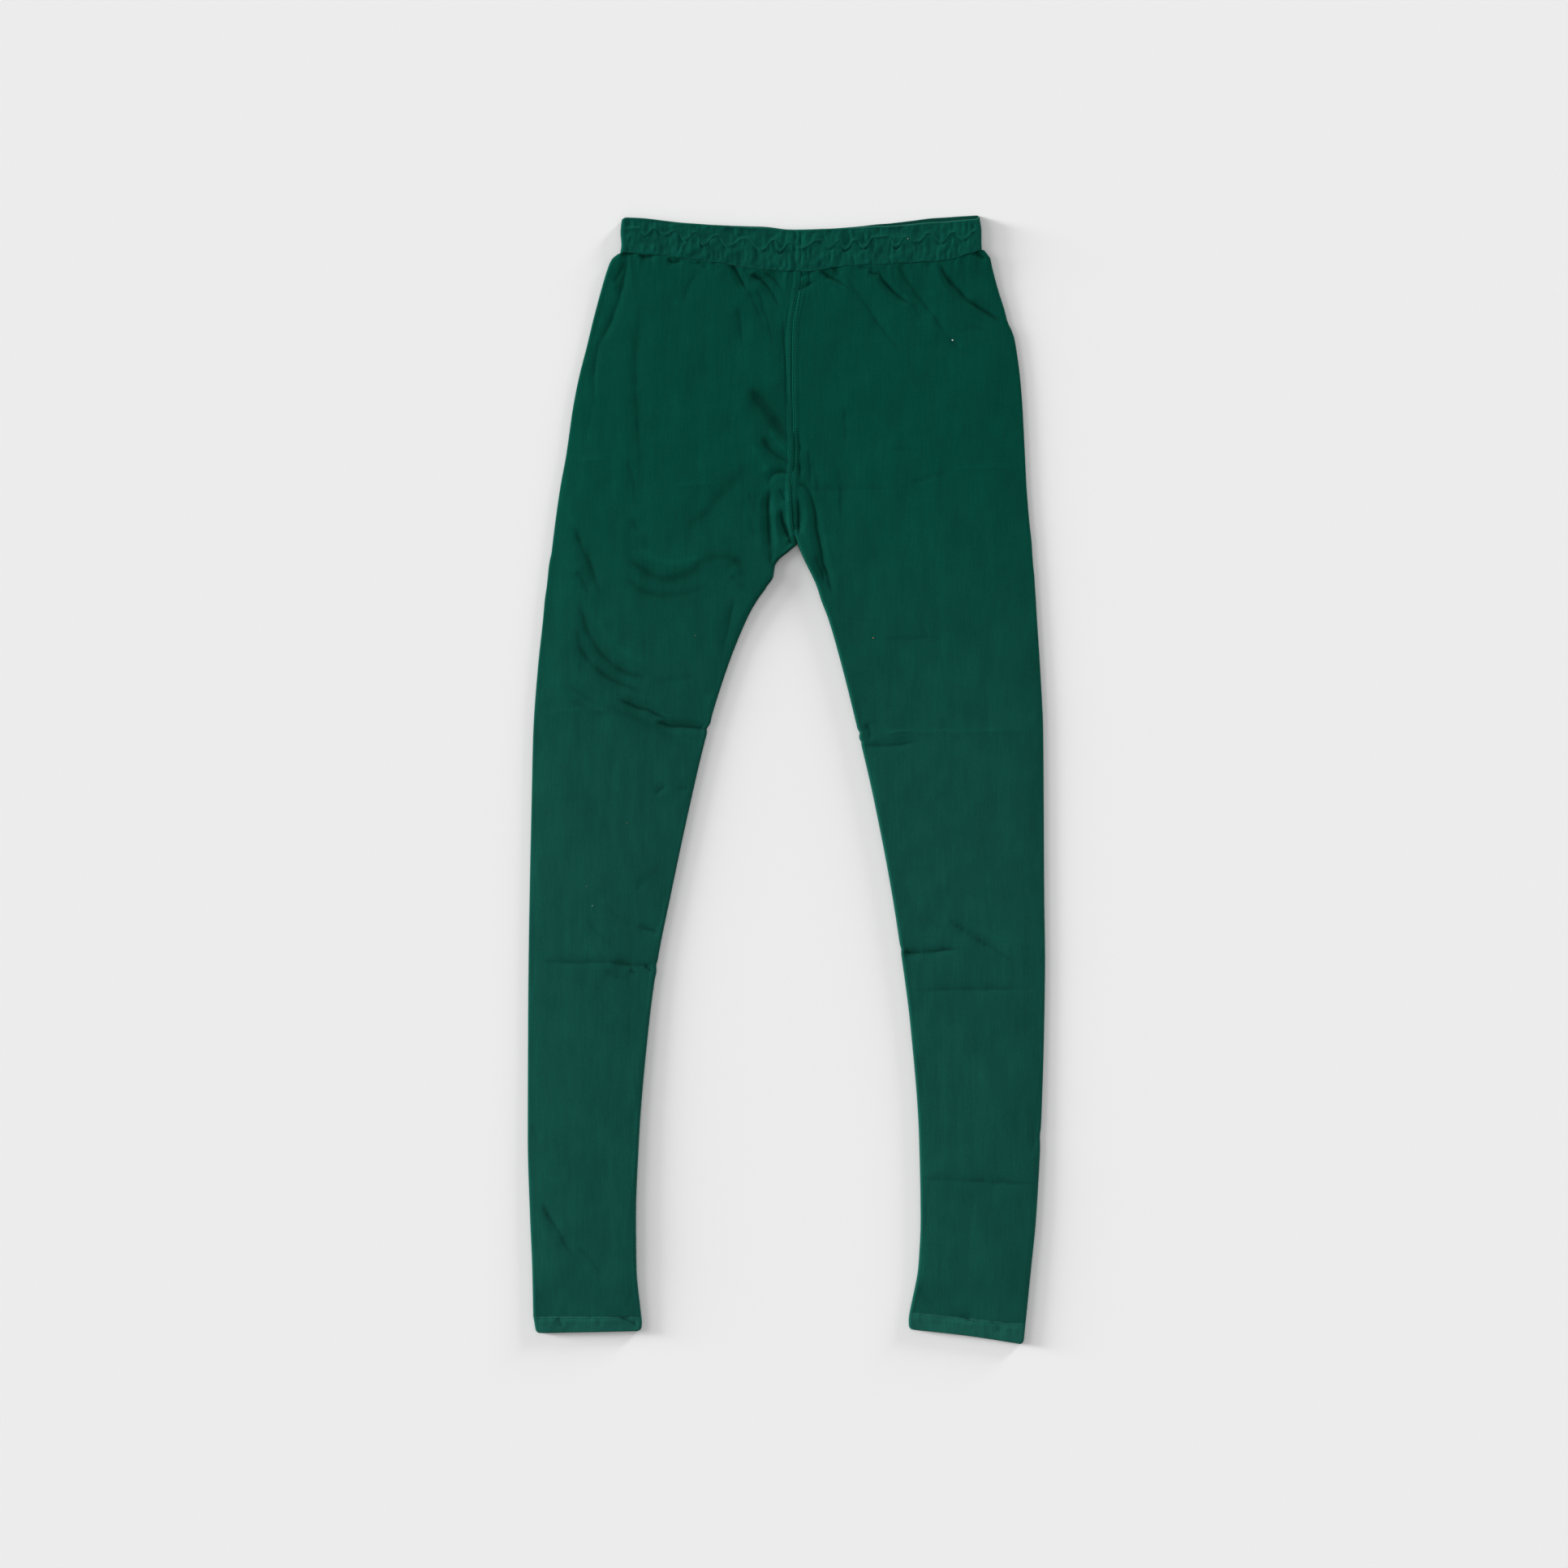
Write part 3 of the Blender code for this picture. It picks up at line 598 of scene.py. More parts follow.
# Uneven shade of the materials
GRAINS = {
    # name: lumps per metre along each axis, detail, spread of the shade
    "streak": ((560.0, 40.0, 300.0), 3.0, 0.06),
    "grain": ((900.0, 700.0, 700.0), 2.0, 0.075),
    "patch": ((40.0, 24.0, 24.0), 4.0, 0.075),
    "fibre": ((1500.0, 1500.0, 1500.0), 2.0, 0.12),
}
ROUGHNESS = 0.9
SHEEN = 0.05
# Painted shade: the mesh's stored shade mapped to a factor on the colour, darker below 1 and lighter
# above
CREASE_SHADES = {"From Min": -1.6, "From Max": 0.8, "To Min": 0.58, "To Max": 1.21}


def smooth(t):
    """Rises from 0 to 1 with level ends."""
    t = np.clip(t, 0.0, 1.0)
    return t * t * (3.0 - 2.0 * t)


def mix(a, b, t):
    return a + (b - a) * t


def bell(away, reach):
    return np.exp(-((away / reach) ** 2))


def curve(rows, column, at):
    """Reads a column of a table on a smooth curve that never overshoots its rows."""
    places = np.array([row[0] for row in rows], float)
    values = np.array([row[column] for row in rows], float)
    steps = np.diff(places)
    slopes = np.diff(values) / steps
    before, after = slopes[:-1], slopes[1:]
    same_way = before * after > 0.0
    middle = np.where(same_way, 2.0 * before * after / np.where(same_way, before + after, 1.0), 0.0)
    tangents = np.concatenate([slopes[:1], middle, slopes[-1:]])
    at = np.clip(np.asarray(at, float), places[0], places[-1])
    k = np.clip(np.searchsorted(places, at, side="right") - 1, 0, len(steps) - 1)
    t = (at - places[k]) / steps[k]
    return (
        (2 * t**3 - 3 * t**2 + 1) * values[k]
        + (t**3 - 2 * t**2 + t) * steps[k] * tangents[k]
        + (3 * t**2 - 2 * t**3) * values[k + 1]
        + (t**3 - t**2) * steps[k] * tangents[k + 1]
    )


def soft_noise(x, y, size, seed):
    """Smooth uneven values from -1 to 1 over a plane, in lumps of about the given size."""
    count = 256
    lattice = np.random.default_rng(seed).uniform(-1.0, 1.0, (count, count))
    u, v = x / size + count / 2, y / size + count / 2
    i, j = np.floor(u).astype(int), np.floor(v).astype(int)
    a, b = smooth(u - i), smooth(v - j)
    i0, i1, j0, j1 = i % count, (i + 1) % count, j % count, (j + 1) % count
    low = mix(lattice[i0, j0], lattice[i1, j0], a)
    high = mix(lattice[i0, j1], lattice[i1, j1], a)
    return mix(low, high, b)


def uneven(name, x, y=0.0):
    """One of the soft uneven forms."""
    height, size, stretch, seed = UNEVEN[name]
    return height * soft_noise(x, y / stretch, size, seed)


def crease_line(start, middle, end):
    """Points along a parabola that passes through three points."""
    t = np.linspace(0.0, 1.0, CREASE_STEPS + 1)[:, None]
    start, middle, end = (np.array(point, float) for point in (start, middle, end))
    bend = 2.0 * middle - 0.5 * (start + end)
    return (1 - t) ** 2 * start + 2 * t * (1 - t) * bend + t * t * end


def nearest_on_line(points, x, y):
    """Distance to a line of points, and how far along it the nearest place lies."""
    best = np.full(x.shape, np.inf)
    along = np.zeros(x.shape)
    for k in range(len(points) - 1):
        (ax, ay), (bx, by) = points[k], points[k + 1]
        run_x, run_y = bx - ax, by - ay
        t = np.clip(((x - ax) * run_x + (y - ay) * run_y) / (run_x**2 + run_y**2), 0.0, 1.0)
        away = np.hypot(x - ax - t * run_x, y - ay - t * run_y)
        nearer = away < best
        best = np.where(nearer, away, best)
        along = np.where(nearer, (k + t) / (len(points) - 1), along)
    return best, along


def ends_of(along, share):
    """Fades a crease out towards both its ends."""
    return smooth(along / share) * smooth((1.0 - along) / share)


def crease_relief(creases, x, y, seed):
    """Height and painted shade that a table of creases adds at each place, with an uneven run and depth:
    painted shade along troughs, painted highlight along ridges.
    """
    relief, shade = np.zeros(x.shape), np.zeros(x.shape)
    sway_x = x + CREASE_SWAY * soft_noise(x, y, CREASE_SWAY_SIZE, seed)
    sway_y = y + CREASE_SWAY * soft_noise(x, y, CREASE_SWAY_SIZE, seed + 1)
    strength = 1.0 + CREASE_UNEVEN * soft_noise(x, y, CREASE_SWAY_SIZE, seed + 2)
    for row in creases:
        height, half_width, lip = row[6:9]
        points = crease_line(row[0:2], row[2:4], row[4:6])
        reach = CREASE_REACH * half_width
        near = (
            (sway_x > points[:, 0].min() - reach)
            & (sway_x < points[:, 0].max() + reach)
            & (sway_y > points[:, 1].min() - reach)
            & (sway_y < points[:, 1].max() + reach)
        )
        if not near.any():
            continue
        away, along = nearest_on_line(points, sway_x[near], sway_y[near])
        ends = ends_of(along, CREASE_ENDS)
        q = away / (half_width * mix(CREASE_TAPER, 1.0, ends))
        core = np.exp(-((q / CREASE_CORE) ** CREASE_POWER))
        skirt = bell(q, CREASE_SKIRT)
        form = mix(skirt, core, CREASE_CORE_SHARE) - CREASE_LIP * lip * bell(q - CREASE_LIP_AT, 1.0)
        depth = height * ends * strength[near]
        relief[near] += curve(CREASE_RELIEF, 1, half_width) * depth * form
        line = np.exp(-((away / (half_width * CREASE_LINE)) ** CREASE_POWER))
        line_ends = ends_of(along, CREASE_LINE_ENDS)
        # Painted shade: a thin dark or light line along the crease and a softer skirt beside it
        shade[near] += height * strength[near] * (
            CREASE_LINE_SHADE * line * line_ends + CREASE_SKIRT_SHADE * skirt * ends
        )
    return relief, shade


def band_lower_edge(x, frontness):
    """The waistband's lower edge: curved on the front, two straight runs on the back."""
    right, left = BAND_SECTIONS[0], BAND_SECTIONS[-1]
    on_right = x < BAND_CENTRE[0]
    side_x = np.where(on_right, right[0], left[0])
    side_y = np.where(on_right, right[1], left[1])
    share = np.minimum((x - BAND_CENTRE[0]) / (side_x - BAND_CENTRE[0]), 1.0)
    back = mix(BAND_CENTRE[1], side_y, share)
    front = curve(BAND_SECTIONS, 1, x) + uneven("band lower edge", x)
    return mix(back, front, frontness)


def band_edges(x, frontness):
    """The waistband's lower and upper edge."""
    low = band_lower_edge(x, frontness) + SEAM_GAP / 2
    return low, curve(BAND_SECTIONS, 2, x) - frontness * curve(BAND_SECTIONS, 3, x)


class Leg:
    """Edges and level changes of one leg. The sign is the direction from inner to outer edge."""

    def __init__(self, name, sign, inner_column, outer_column, rise_column):
        self.name = name
        self.sign = sign
        self.inner_column = inner_column
        self.outer_column = outer_column
        self.rise_column = rise_column

    def nicks(self, level, edge):
        rows = [row for row in NICKS if row[0] == self.name and row[1] == edge]
        return sum(row[3] * bell(level - row[2], row[4]) for row in rows)

    def inner(self, level):
        """The inseam below the crotch, and the centre seam above it."""
        below = curve(INSEAM_SECTIONS, self.inner_column, level)
        above = curve(SEAM_SECTIONS, self.inner_column, level)
        edge = np.where(level >= CROTCH_LEVEL, above, below)
        return edge + self.sign * (SEAM_GAP / 2 + self.nicks(level, "inner"))

    def outer(self, level):
        return curve(LEG_SECTIONS, self.outer_column, level) - self.sign * self.nicks(level, "outer")

    def hem_side(self, edge, share):
        """A point on the side of the hem, from its top to its lower corner."""
        top, bottom = HEM_CORNERS[self.name][edge]
        return mix(np.array(top), np.array(bottom), share)

    def y(self, level, x, frontness):
        """Rows bend to follow the waistband above and the hem below."""
        share = (x - self.inner(level)) / (self.outer(level) - self.inner(level))
        at_hem = smooth(1.0 - (level - HEM_LEVEL) / HEM_TILT_REACH)
        at_band = smooth(1.0 - (BAND_LEVEL - level) / BAND_CURVE_REACH)
        inner_lift, outer_lift = (self.hem_side(edge, 0.0)[1] - HEM_LEVEL for edge in ("inner", "outer"))
        hem_lift = mix(inner_lift, outer_lift, share) + SEAM_GAP / 2
        band_lift = band_lower_edge(x, frontness) - BAND_LEVEL - SEAM_GAP / 2
        return level + at_hem * hem_lift + at_band * band_lift


LEGS = (
    Leg("right", -1, inner_column=2, outer_column=1, rise_column=1),
    Leg("left", 1, inner_column=3, outer_column=4, rise_column=2),
)


def band_nearness(level):
    return np.exp(-(BAND_LEVEL - level) / BAND_RISE_REACH)


def leg_fold_height(level):
    """Height of the outer folded edge: thin along the leg, as thick as the waistband beside it."""
    along_leg = mix(ANKLE_FOLD, LEG_FOLD, smooth((level - HEM_LEVEL) / ANKLE_REACH))
    return mix(along_leg, BAND_FOLD, band_nearness(level))


def inseam_closure(level):
    """0 where front and back meet the other leg, 1 where they meet each other."""
    return smooth((INSEAM_OPEN_LEVEL - level) / (INSEAM_OPEN_LEVEL - INSEAM_CLOSED_LEVEL))


def inner_fold_height(leg, level):
    """Height of the inner edge, where the inseam holds the cloth up, most of all at the crotch."""
    rise = curve(INSEAM_RISES, leg.rise_column, level)
    return leg_fold_height(level) + rise * inseam_closure(level)


def seam_relief(leg, level, from_inner, closure):
    """The centre seam, and the groove at the hem."""
    strip = SEAM_STRIP * smooth((SEAM_STRIP_END - from_inner) / SEAM_STRIP_SLOPE)
    groove = -SEAM_GROOVE * bell(from_inner, SEAM_GROOVE_REACH)
    sides = -SEAM_SIDES[leg.name] * (0.6 + uneven("seam side", from_inner, level))
    sides = sides * bell(from_inner - SEAM_SIDE_AT, SEAM_SIDE_REACH)
    ends = -ANKLE_GROOVE * bell(level - HEM_LEVEL, ANKLE_GROOVE_REACH)
    return (strip + groove + sides) * (1.0 - closure) + ends


def front_height(leg, x, y, level, from_inner, from_outer):
    """Top of a leg's front layer, and its painted shade: darker in creases and grooves, following the
    relief of gathers, drape and the seam strip, and lighter at the pale spots.
    """
    closure = inseam_closure(level)
    outer_build = 1.0 - np.exp(-from_outer / LOFT_REACH)
    inner_build = 1.0 - closure * np.exp(-from_inner / LOFT_REACH)
    loft = mix(LOFT_AT_HEM, LOFT, smooth((level - HEM_LEVEL) / HEM_LOFT_REACH))
    loft = mix(loft, LOFT_AT_BAND, band_nearness(level)) * outer_build * inner_build
    edges = smooth(from_outer / EDGE_REACH) * mix(1.0, smooth(from_inner / EDGE_REACH), closure)
    creases, shade = crease_relief(CREASES, x, y, FRONT_SEED)
    ease = uneven("leg ease", x, y) + uneven("leg small ease", x, y)
    drape = uneven("drape", x + uneven("drape sway", x, y), y)
    seams = seam_relief(leg, level, from_inner, closure)
    lean = x + uneven("gather lean", x, y)
    gathers = uneven("gather fine", lean, y) + uneven("gather broad", lean, y)
    gathers = gathers * (1.0 - GATHER_EASE_AT_SEAM * bell(BAND_LEVEL - level, GATHER_SEAM_REACH))
    gathers = gathers * np.exp(-(BAND_LEVEL - level) / GATHER_REACH)
    creases = creases + gathers + DRAPE_RELIEF * drape
    # Painted shade that follows the gathers, the drape and the seam's strip and grooves; the pale spots
    # below are the cloth's own tone
    shade = shade + gathers + DRAPE_SHADE * drape + SEAM_SHADE * seams * edges
    for spot_x, spot_y, size in PALE_SPOTS:
        shade = shade + PALE_SHADE * bell(np.hypot(x - spot_x, y - spot_y), size)
    base = mix(leg_fold_height(level), inner_fold_height(leg, level), np.exp(-from_inner / LOFT_REACH))
    height = base + loft + edges * (creases + ease + seams)
    return np.maximum(height, 2 * LEG_WALL + LAYER_CLEARANCE), shade


def row_levels(leg):
    """Levels of a leg's rows, closer above the knee and closest at the creases across it."""
    fine = np.linspace(HEM_LEVEL, BAND_LEVEL, 8000)
    step = curve(ROW_STEPS, 1, fine)
    for cross in CROSS_LEVELS[leg.name]:
        step = mix(step, CROSS_ROW_STEP, bell(fine - cross, CROSS_REACH))
    rows = np.concatenate([[0.0], np.cumsum(np.diff(fine) / step[1:])])
    levels = np.interp(np.linspace(0.0, rows[-1], ROWS + 1), rows, fine)
    levels[1], levels[-2] = levels[0] + END_ROW, levels[-1] - END_ROW
    return levels


def front_shares():
    """Places of the front's columns from the inner to the outer edge, closer near the inner one."""
    fine = np.linspace(0.0, 1.0, 2000)
    weight = 1.0 + CLOSE_COLUMNS * bell(fine, CLOSE_REACH)
    places = np.concatenate([[0.0], np.cumsum(weight[1:])])
    return np.interp(np.linspace(0.0, places[-1], FRONT_STEPS + 1), places, fine)


def fold_arc(middle_x, radius, side, steps, lift=0.0, upwards=False):
    """Points half round a folded edge: x, height, way out sideways and up, and a painted shade, darker
    where the fold faces sideways.
    """
    turns = math.pi / 2 - math.pi * np.arange(1, steps) / steps
    if upwards:
        turns = -turns
    out, up = np.cos(turns), np.sin(turns)
    x = middle_x + side * radius * out
    return x, radius + radius * up + lift * np.maximum(up, 0.0), side * out, up, EDGE_SHADE * out


def leg_grid(leg):
    """Outer points of a leg's shell, their way out, and the painted shade at each."""
    level = row_levels(leg)[:, None]
    radius = leg_fold_height(level) / 2
    inner_radius = inner_fold_height(leg, level) / 2
    closure = np.maximum(inseam_closure(level), 0.001)
    curl_radius = inner_radius / closure
    full_turn = closure * (math.pi / 2 - np.arcsin(SEAM_GAP / 2 / inner_radius))
    start_x = leg.inner(level) + leg.sign * curl_radius * np.sin(full_turn)
    end_x = leg.outer(level) - leg.sign * radius
    parts = []

    def add(x, z, away, up, shade):
        y = leg.y(level, x, 0.5 + 0.5 * up)
        parts.append(np.stack(np.broadcast_arrays(x, y, z, away, up, shade), axis=-1))

    def reach(x):
        return np.maximum(leg.sign * (x - start_x), 0.0), np.maximum(leg.sign * (end_x - x), 0.0)

    def top(x):
        y = leg.y(level, x, 1.0)
        return front_height(leg, x, y, level * np.ones_like(x), *reach(x))

    def curl(turns):
        """The inner edge, from the flat cloth towards the inseam: x, height, way out, and a painted
        shade, darker as it turns sideways.
        """
        x = start_x - leg.sign * curl_radius * np.sin(turns)
        rise = curl_radius * (1.0 - np.cos(turns))
        return x, rise, -leg.sign * np.sin(turns), EDGE_SHADE * np.sin(turns)

    turns = full_turn * (1.0 - np.arange(CURL_STEPS) / CURL_STEPS)
    x, rise, away, shade = curl(turns)
    add(x, top(start_x)[0] - rise, away, np.cos(turns), shade)

    x = mix(start_x, end_x, front_shares())
    z, shade = top(x)
    add(x, z, 0.0, 1.0, shade)

    add(*fold_arc(end_x, radius, leg.sign, FOLD_STEPS))

    x = mix(end_x, start_x, np.linspace(0.0, 1.0, BACK_STEPS + 1))
    from_inner, from_outer = reach(x)
    edges = smooth(from_outer / BACK_EDGE_REACH) * smooth(from_inner / BACK_EDGE_REACH)
    creases = crease_relief(BACK_CREASES, x, leg.y(level, x, 0.0), BACK_SEED)[0]
    dents = np.maximum(-creases, 0.0)
    # Painted shade: the back layer's dents are darkened
    add(x, np.minimum(edges * dents, BACK_DENT), 0.0, -1.0, -dents)

    turns = full_turn * np.arange(1, CURL_STEPS + 1) / CURL_STEPS
    x, rise, away, shade = curl(turns)
    add(x, rise, away, -np.cos(turns), shade)

    return np.concatenate(parts, axis=1)


def spread(values, reach, pick):
    """Lowest or highest value within a few steps along both sides of a grid."""
    for axis in (0, 1):
        padding = [(0, 0), (0, 0)]
        padding[axis] = (reach, reach)
        padded = np.pad(values, padding, mode="edge")
        size = values.shape[axis]
        shifted = [np.take(padded, range(k, k + size), axis=axis) for k in range(2 * reach + 1)]
        values = pick(shifted, axis=0)
    return values


def numbers(rows, columns, first=0, close_rows=False, close_columns=False):
    """Numbers of a grid's points; a closed side ends with its first points again."""
    grid = first + np.arange(rows * columns).reshape(rows, columns)
    return np.pad(grid, ((0, int(close_rows)), (0, int(close_columns))), mode="wrap")


def grid_faces(at):
    """Four-sided faces between the points of a grid."""
    corners = (at[:-1, :-1], at[:-1, 1:], at[1:, 1:], at[1:, :-1])
    return np.stack(corners, axis=-1).reshape(-1, 4).tolist()


def rim_faces(outside, inside):
    """Faces between an edge of the outside and the coarser one of the inside."""
    outside, inside = outside.tolist(), inside.tolist()
    return [
        outside[k * INSIDE_STEP:(k + 1) * INSIDE_STEP + 1] + [inside[k + 1], inside[k]]
        for k in range(len(inside) - 1)
    ]


def place(name, data):
    obj = bpy.data.objects.new(name, data)
    bpy.context.scene.collection.objects.link(obj)
    return obj


def add_object(name, points, faces, material, shade=None):
    """A smooth mesh whose faces all look outward, with a painted shade at each point: painted shade in
    creases, hollows and on sideways edges, painted highlights on ridges, and pale spots.
    """
    data = bpy.data.meshes.new(name)
    data.from_pydata((np.asarray(points) * MM).tolist(), [], faces)
    data.validate()
    data.shade_smooth()
    data.materials.append(material)
    if shade is not None:
        # Painted shade and painted highlights, with the pale spots, stored at each point so the material
        # darkens or lightens the colour
        attribute = data.attributes.new("painted_shade_and_spots", "FLOAT", "POINT")
        attribute.data.foreach_set("value", np.asarray(shade, np.float32))
    mesh = bmesh.new()
    mesh.from_mesh(data)
    bmesh.ops.recalc_face_normals(mesh, faces=mesh.faces)
    mesh.to_mesh(data)
    mesh.free()
    return place(name, data)


def make_leg(leg, material):
    grid = leg_grid(leg)
    rows, columns = grid.shape[:2]
    outer, away, up, shade = grid[..., :3], grid[..., 3], grid[..., 4], grid[..., 5]
    facing_up = up > 0.0
    low = spread(np.where(facing_up, outer[..., 2], np.inf), INSIDE_STEP, np.min)
    high = spread(np.where(facing_up, -np.inf, outer[..., 2]), INSIDE_STEP, np.max)
    flat = np.abs(away) < 0.01
    base_z = np.where(flat, np.where(facing_up, low, high), outer[..., 2])
    inner = np.stack([outer[..., 0] - away * LEG_WALL, outer[..., 1], base_z - up * LEG_WALL], axis=-1)
    inner = inner[::INSIDE_STEP, ::INSIDE_STEP]
    outside = numbers(rows, columns)
    inside = numbers(*inner.shape[:2], first=rows * columns)
    faces = grid_faces(outside) + grid_faces(inside[:, ::-1])
    for end in (0, -1):
        faces += rim_faces(outside[end], inside[end])
        faces += rim_faces(outside[:, end], inside[:, end])
    points = np.concatenate([outer.reshape(-1, 3), inner.reshape(-1, 3)])
    shades = np.concatenate([shade.reshape(-1), np.zeros(inside.size)])
    return add_object(f"leg_{leg.name}_cloth", points, faces, material, shades)


def wall_profile(steps, rim_steps, inside_steps, low_rim, high_rim):
    """Rows round a wall's section: up the outside, over the rim, down the inside, round below."""
    profile = [(s, 0.0) for s in np.linspace(low_rim, 1.0 - high_rim, steps + 1)]
    turns = np.linspace(0.0, math.pi, rim_steps + 1)[1:-1]
    profile += [(1.0 - high_rim + high_rim * math.sin(t), 0.5 - 0.5 * math.cos(t)) for t in turns]
    profile += [(s, 1.0) for s in np.linspace(1.0 - high_rim, low_rim, inside_steps + 1)]
    profile += [(low_rim - low_rim * math.sin(t), 0.5 + 0.5 * math.cos(t)) for t in turns]
    return profile


def ring_row(left, right, fold, steps, row_y, front, back, lift=0.0):
    """A row of points round a flattened ring: its front, a fold, its back and the other fold.

    row_y(x, frontness) gives the row's y, front(x) a height and a painted shade, back(x) a height.
    """
    front_steps, back_steps, fold_steps = steps
    radius = fold / 2
    parts = []

    def add(x, z, away, up, shade):
        y = row_y(x, 0.5 + 0.5 * up)
        parts.append(np.stack(np.broadcast_arrays(x, y, z, away, up, shade)))

    x = np.linspace(left + radius, right - radius, front_steps + 1)
    z, shade = front(x)
    add(x, z, 0.0, 1.0, shade)
    add(*fold_arc(right - radius, radius, 1, fold_steps, lift))
    x = np.linspace(right - radius, left + radius, back_steps + 1)
    add(x, back(x), 0.0, -1.0, 0.0)
    add(*fold_arc(left + radius, radius, -1, fold_steps, lift, upwards=True))
    return np.concatenate(parts, axis=1)


def make_ring(name, profile, ring, wall, material):
    """A closed wall. ring(share) gives the outer points, ways out and painted shades of a row; its
    inside gets the painted shade of INSIDE_SHADE.
    """
    points, shades = [], []
    for share, inward in profile:
        x, y, z, away, up, shade = ring(share)
        points.append(np.stack([x - away * wall * inward, y, z - up * wall * inward], axis=-1))
        # Painted shade: the inside of the wall is darkened
        shades.append(mix(shade, INSIDE_SHADE, smooth(inward / 0.5 - 1.0)))
    points = np.array(points)
    faces = grid_faces(numbers(*points.shape[:2], close_rows=True, close_columns=True))
    return add_object(name, points.reshape(-1, 3), faces, material, np.array(shades).reshape(-1))


def stitch_wave_y(x):
    """The wavy stitch: round crests and hollows with steep runs between them."""
    places = np.array([row[0] for row in STITCH_WAVE], float)
    values = np.array([row[1] for row in STITCH_WAVE], float)
    at = np.clip(x, places[0], places[-1])
    k = np.clip(np.searchsorted(places, at, side="right") - 1, 0, len(places) - 2)
    share = (at - places[k]) / (places[k + 1] - places[k])
    return mix(values[k], values[k + 1], smooth(mix(share, smooth(share), WAVE_ROUNDNESS)))


def band_relief(x, y, share):
    """Puckers of the gathered band and its wavy stitch: their relief and their painted shade, lighter on
    puckers and the stitch's ridge, darker in the hollows under it and along a line below the top edge; a
    lighter patch of stitching by the seam.
    """
    wave_y = stitch_wave_y(x)
    from_wave = y - wave_y
    lean = x + uneven("band lean", x, y)
    above = smooth(from_wave / 4.0 + 0.5)
    fine = mix(uneven("band fine, low", lean, y), uneven("band fine, high", lean, y), above)
    puckers = BAND_FINE * fine + uneven("band broad", lean, y) + uneven("band blotch", x, y)
    hold = 1.0 - WAVE_HOLD * bell(from_wave, 2.4)
    puckers = smooth(share / 0.05) * smooth((1.0 - share) / 0.1) * hold * puckers
    slope = (stitch_wave_y(x + 1.0) - stitch_wave_y(x - 1.0)) / 2.0
    ridge = WAVE_RIDGE * bell(from_wave, WAVE_RIDGE_REACH) * mix(0.45, 1.0, 1.0 / (1.0 + slope**2))
    bend = stitch_wave_y(x + 4.0) + stitch_wave_y(x - 4.0) - 2.0 * wave_y
    hollow = bell(from_wave + 2.9, 1.0) * smooth(bend / 9.0)
    hollow = hollow * (0.75 + uneven("band hollow", x))
    seam = 0.35 * bell(x - 18.0, 8.0) - 0.3 * bell(x - 13.5, 0.8) - 0.4 * bell(x - 8.0, 1.6)
    block = bell(x - 16.6, 8.0) * bell(y - 517.0, 7.0)
    top_line = -0.5 * bell(1.0 - share - 0.06, 0.03)
    relief = puckers + ridge - 0.75 * hollow + seam
    # Painted shade from the relief, a painted shadow line below the top edge, and the lighter stitching
    # patch of the block
    shade = 1.3 * puckers + 1.1 * ridge - 1.6 * hollow + 0.8 * seam + 0.5 * block + top_line
    return relief, shade


def make_band(material):
    def ring(share):
        left = BAND_SECTIONS[0][0] + curve(BAND_SIDES, 1, share)
        right = BAND_SECTIONS[-1][0] + curve(BAND_SIDES, 2, share)

        def row_y(x, frontness):
            low, high = band_edges(x, frontness)
            corner = BAND_CORNER * bell(x - left, BAND_CORNER_REACH)
            return mix(low, high + uneven("band top edge", x) - corner, share)

        def front(x):
            edges = smooth((x - x[0]) / 6.0) * smooth((x[-1] - x) / 6.0)
            relief, shade = band_relief(x, mix(*band_edges(x, 1.0), share), share)
            rim = BAND_RIM_DROP * bell(1.0 - share, BAND_RIM)
            return BAND_FOLD + BAND_LIFT + edges * relief - rim, edges * shade

        def back(x):
            edges = smooth((x - x[-1]) / 8.0) * smooth((x[0] - x) / 8.0)
            puckers = BAND_BACK_PUCKER * smooth(0.5 + uneven("band back", x, 40.0 * share))
            return edges * puckers * math.sin(math.pi * share)

        return ring_row(left, right, BAND_FOLD, BAND_STEPS, row_y, front, back, BAND_LIFT)

    profile = wall_profile(steps=48, rim_steps=8, inside_steps=10, low_rim=0.006, high_rim=BAND_RIM)
    return make_ring("waistband_cloth", profile, ring, BAND_WALL, material)


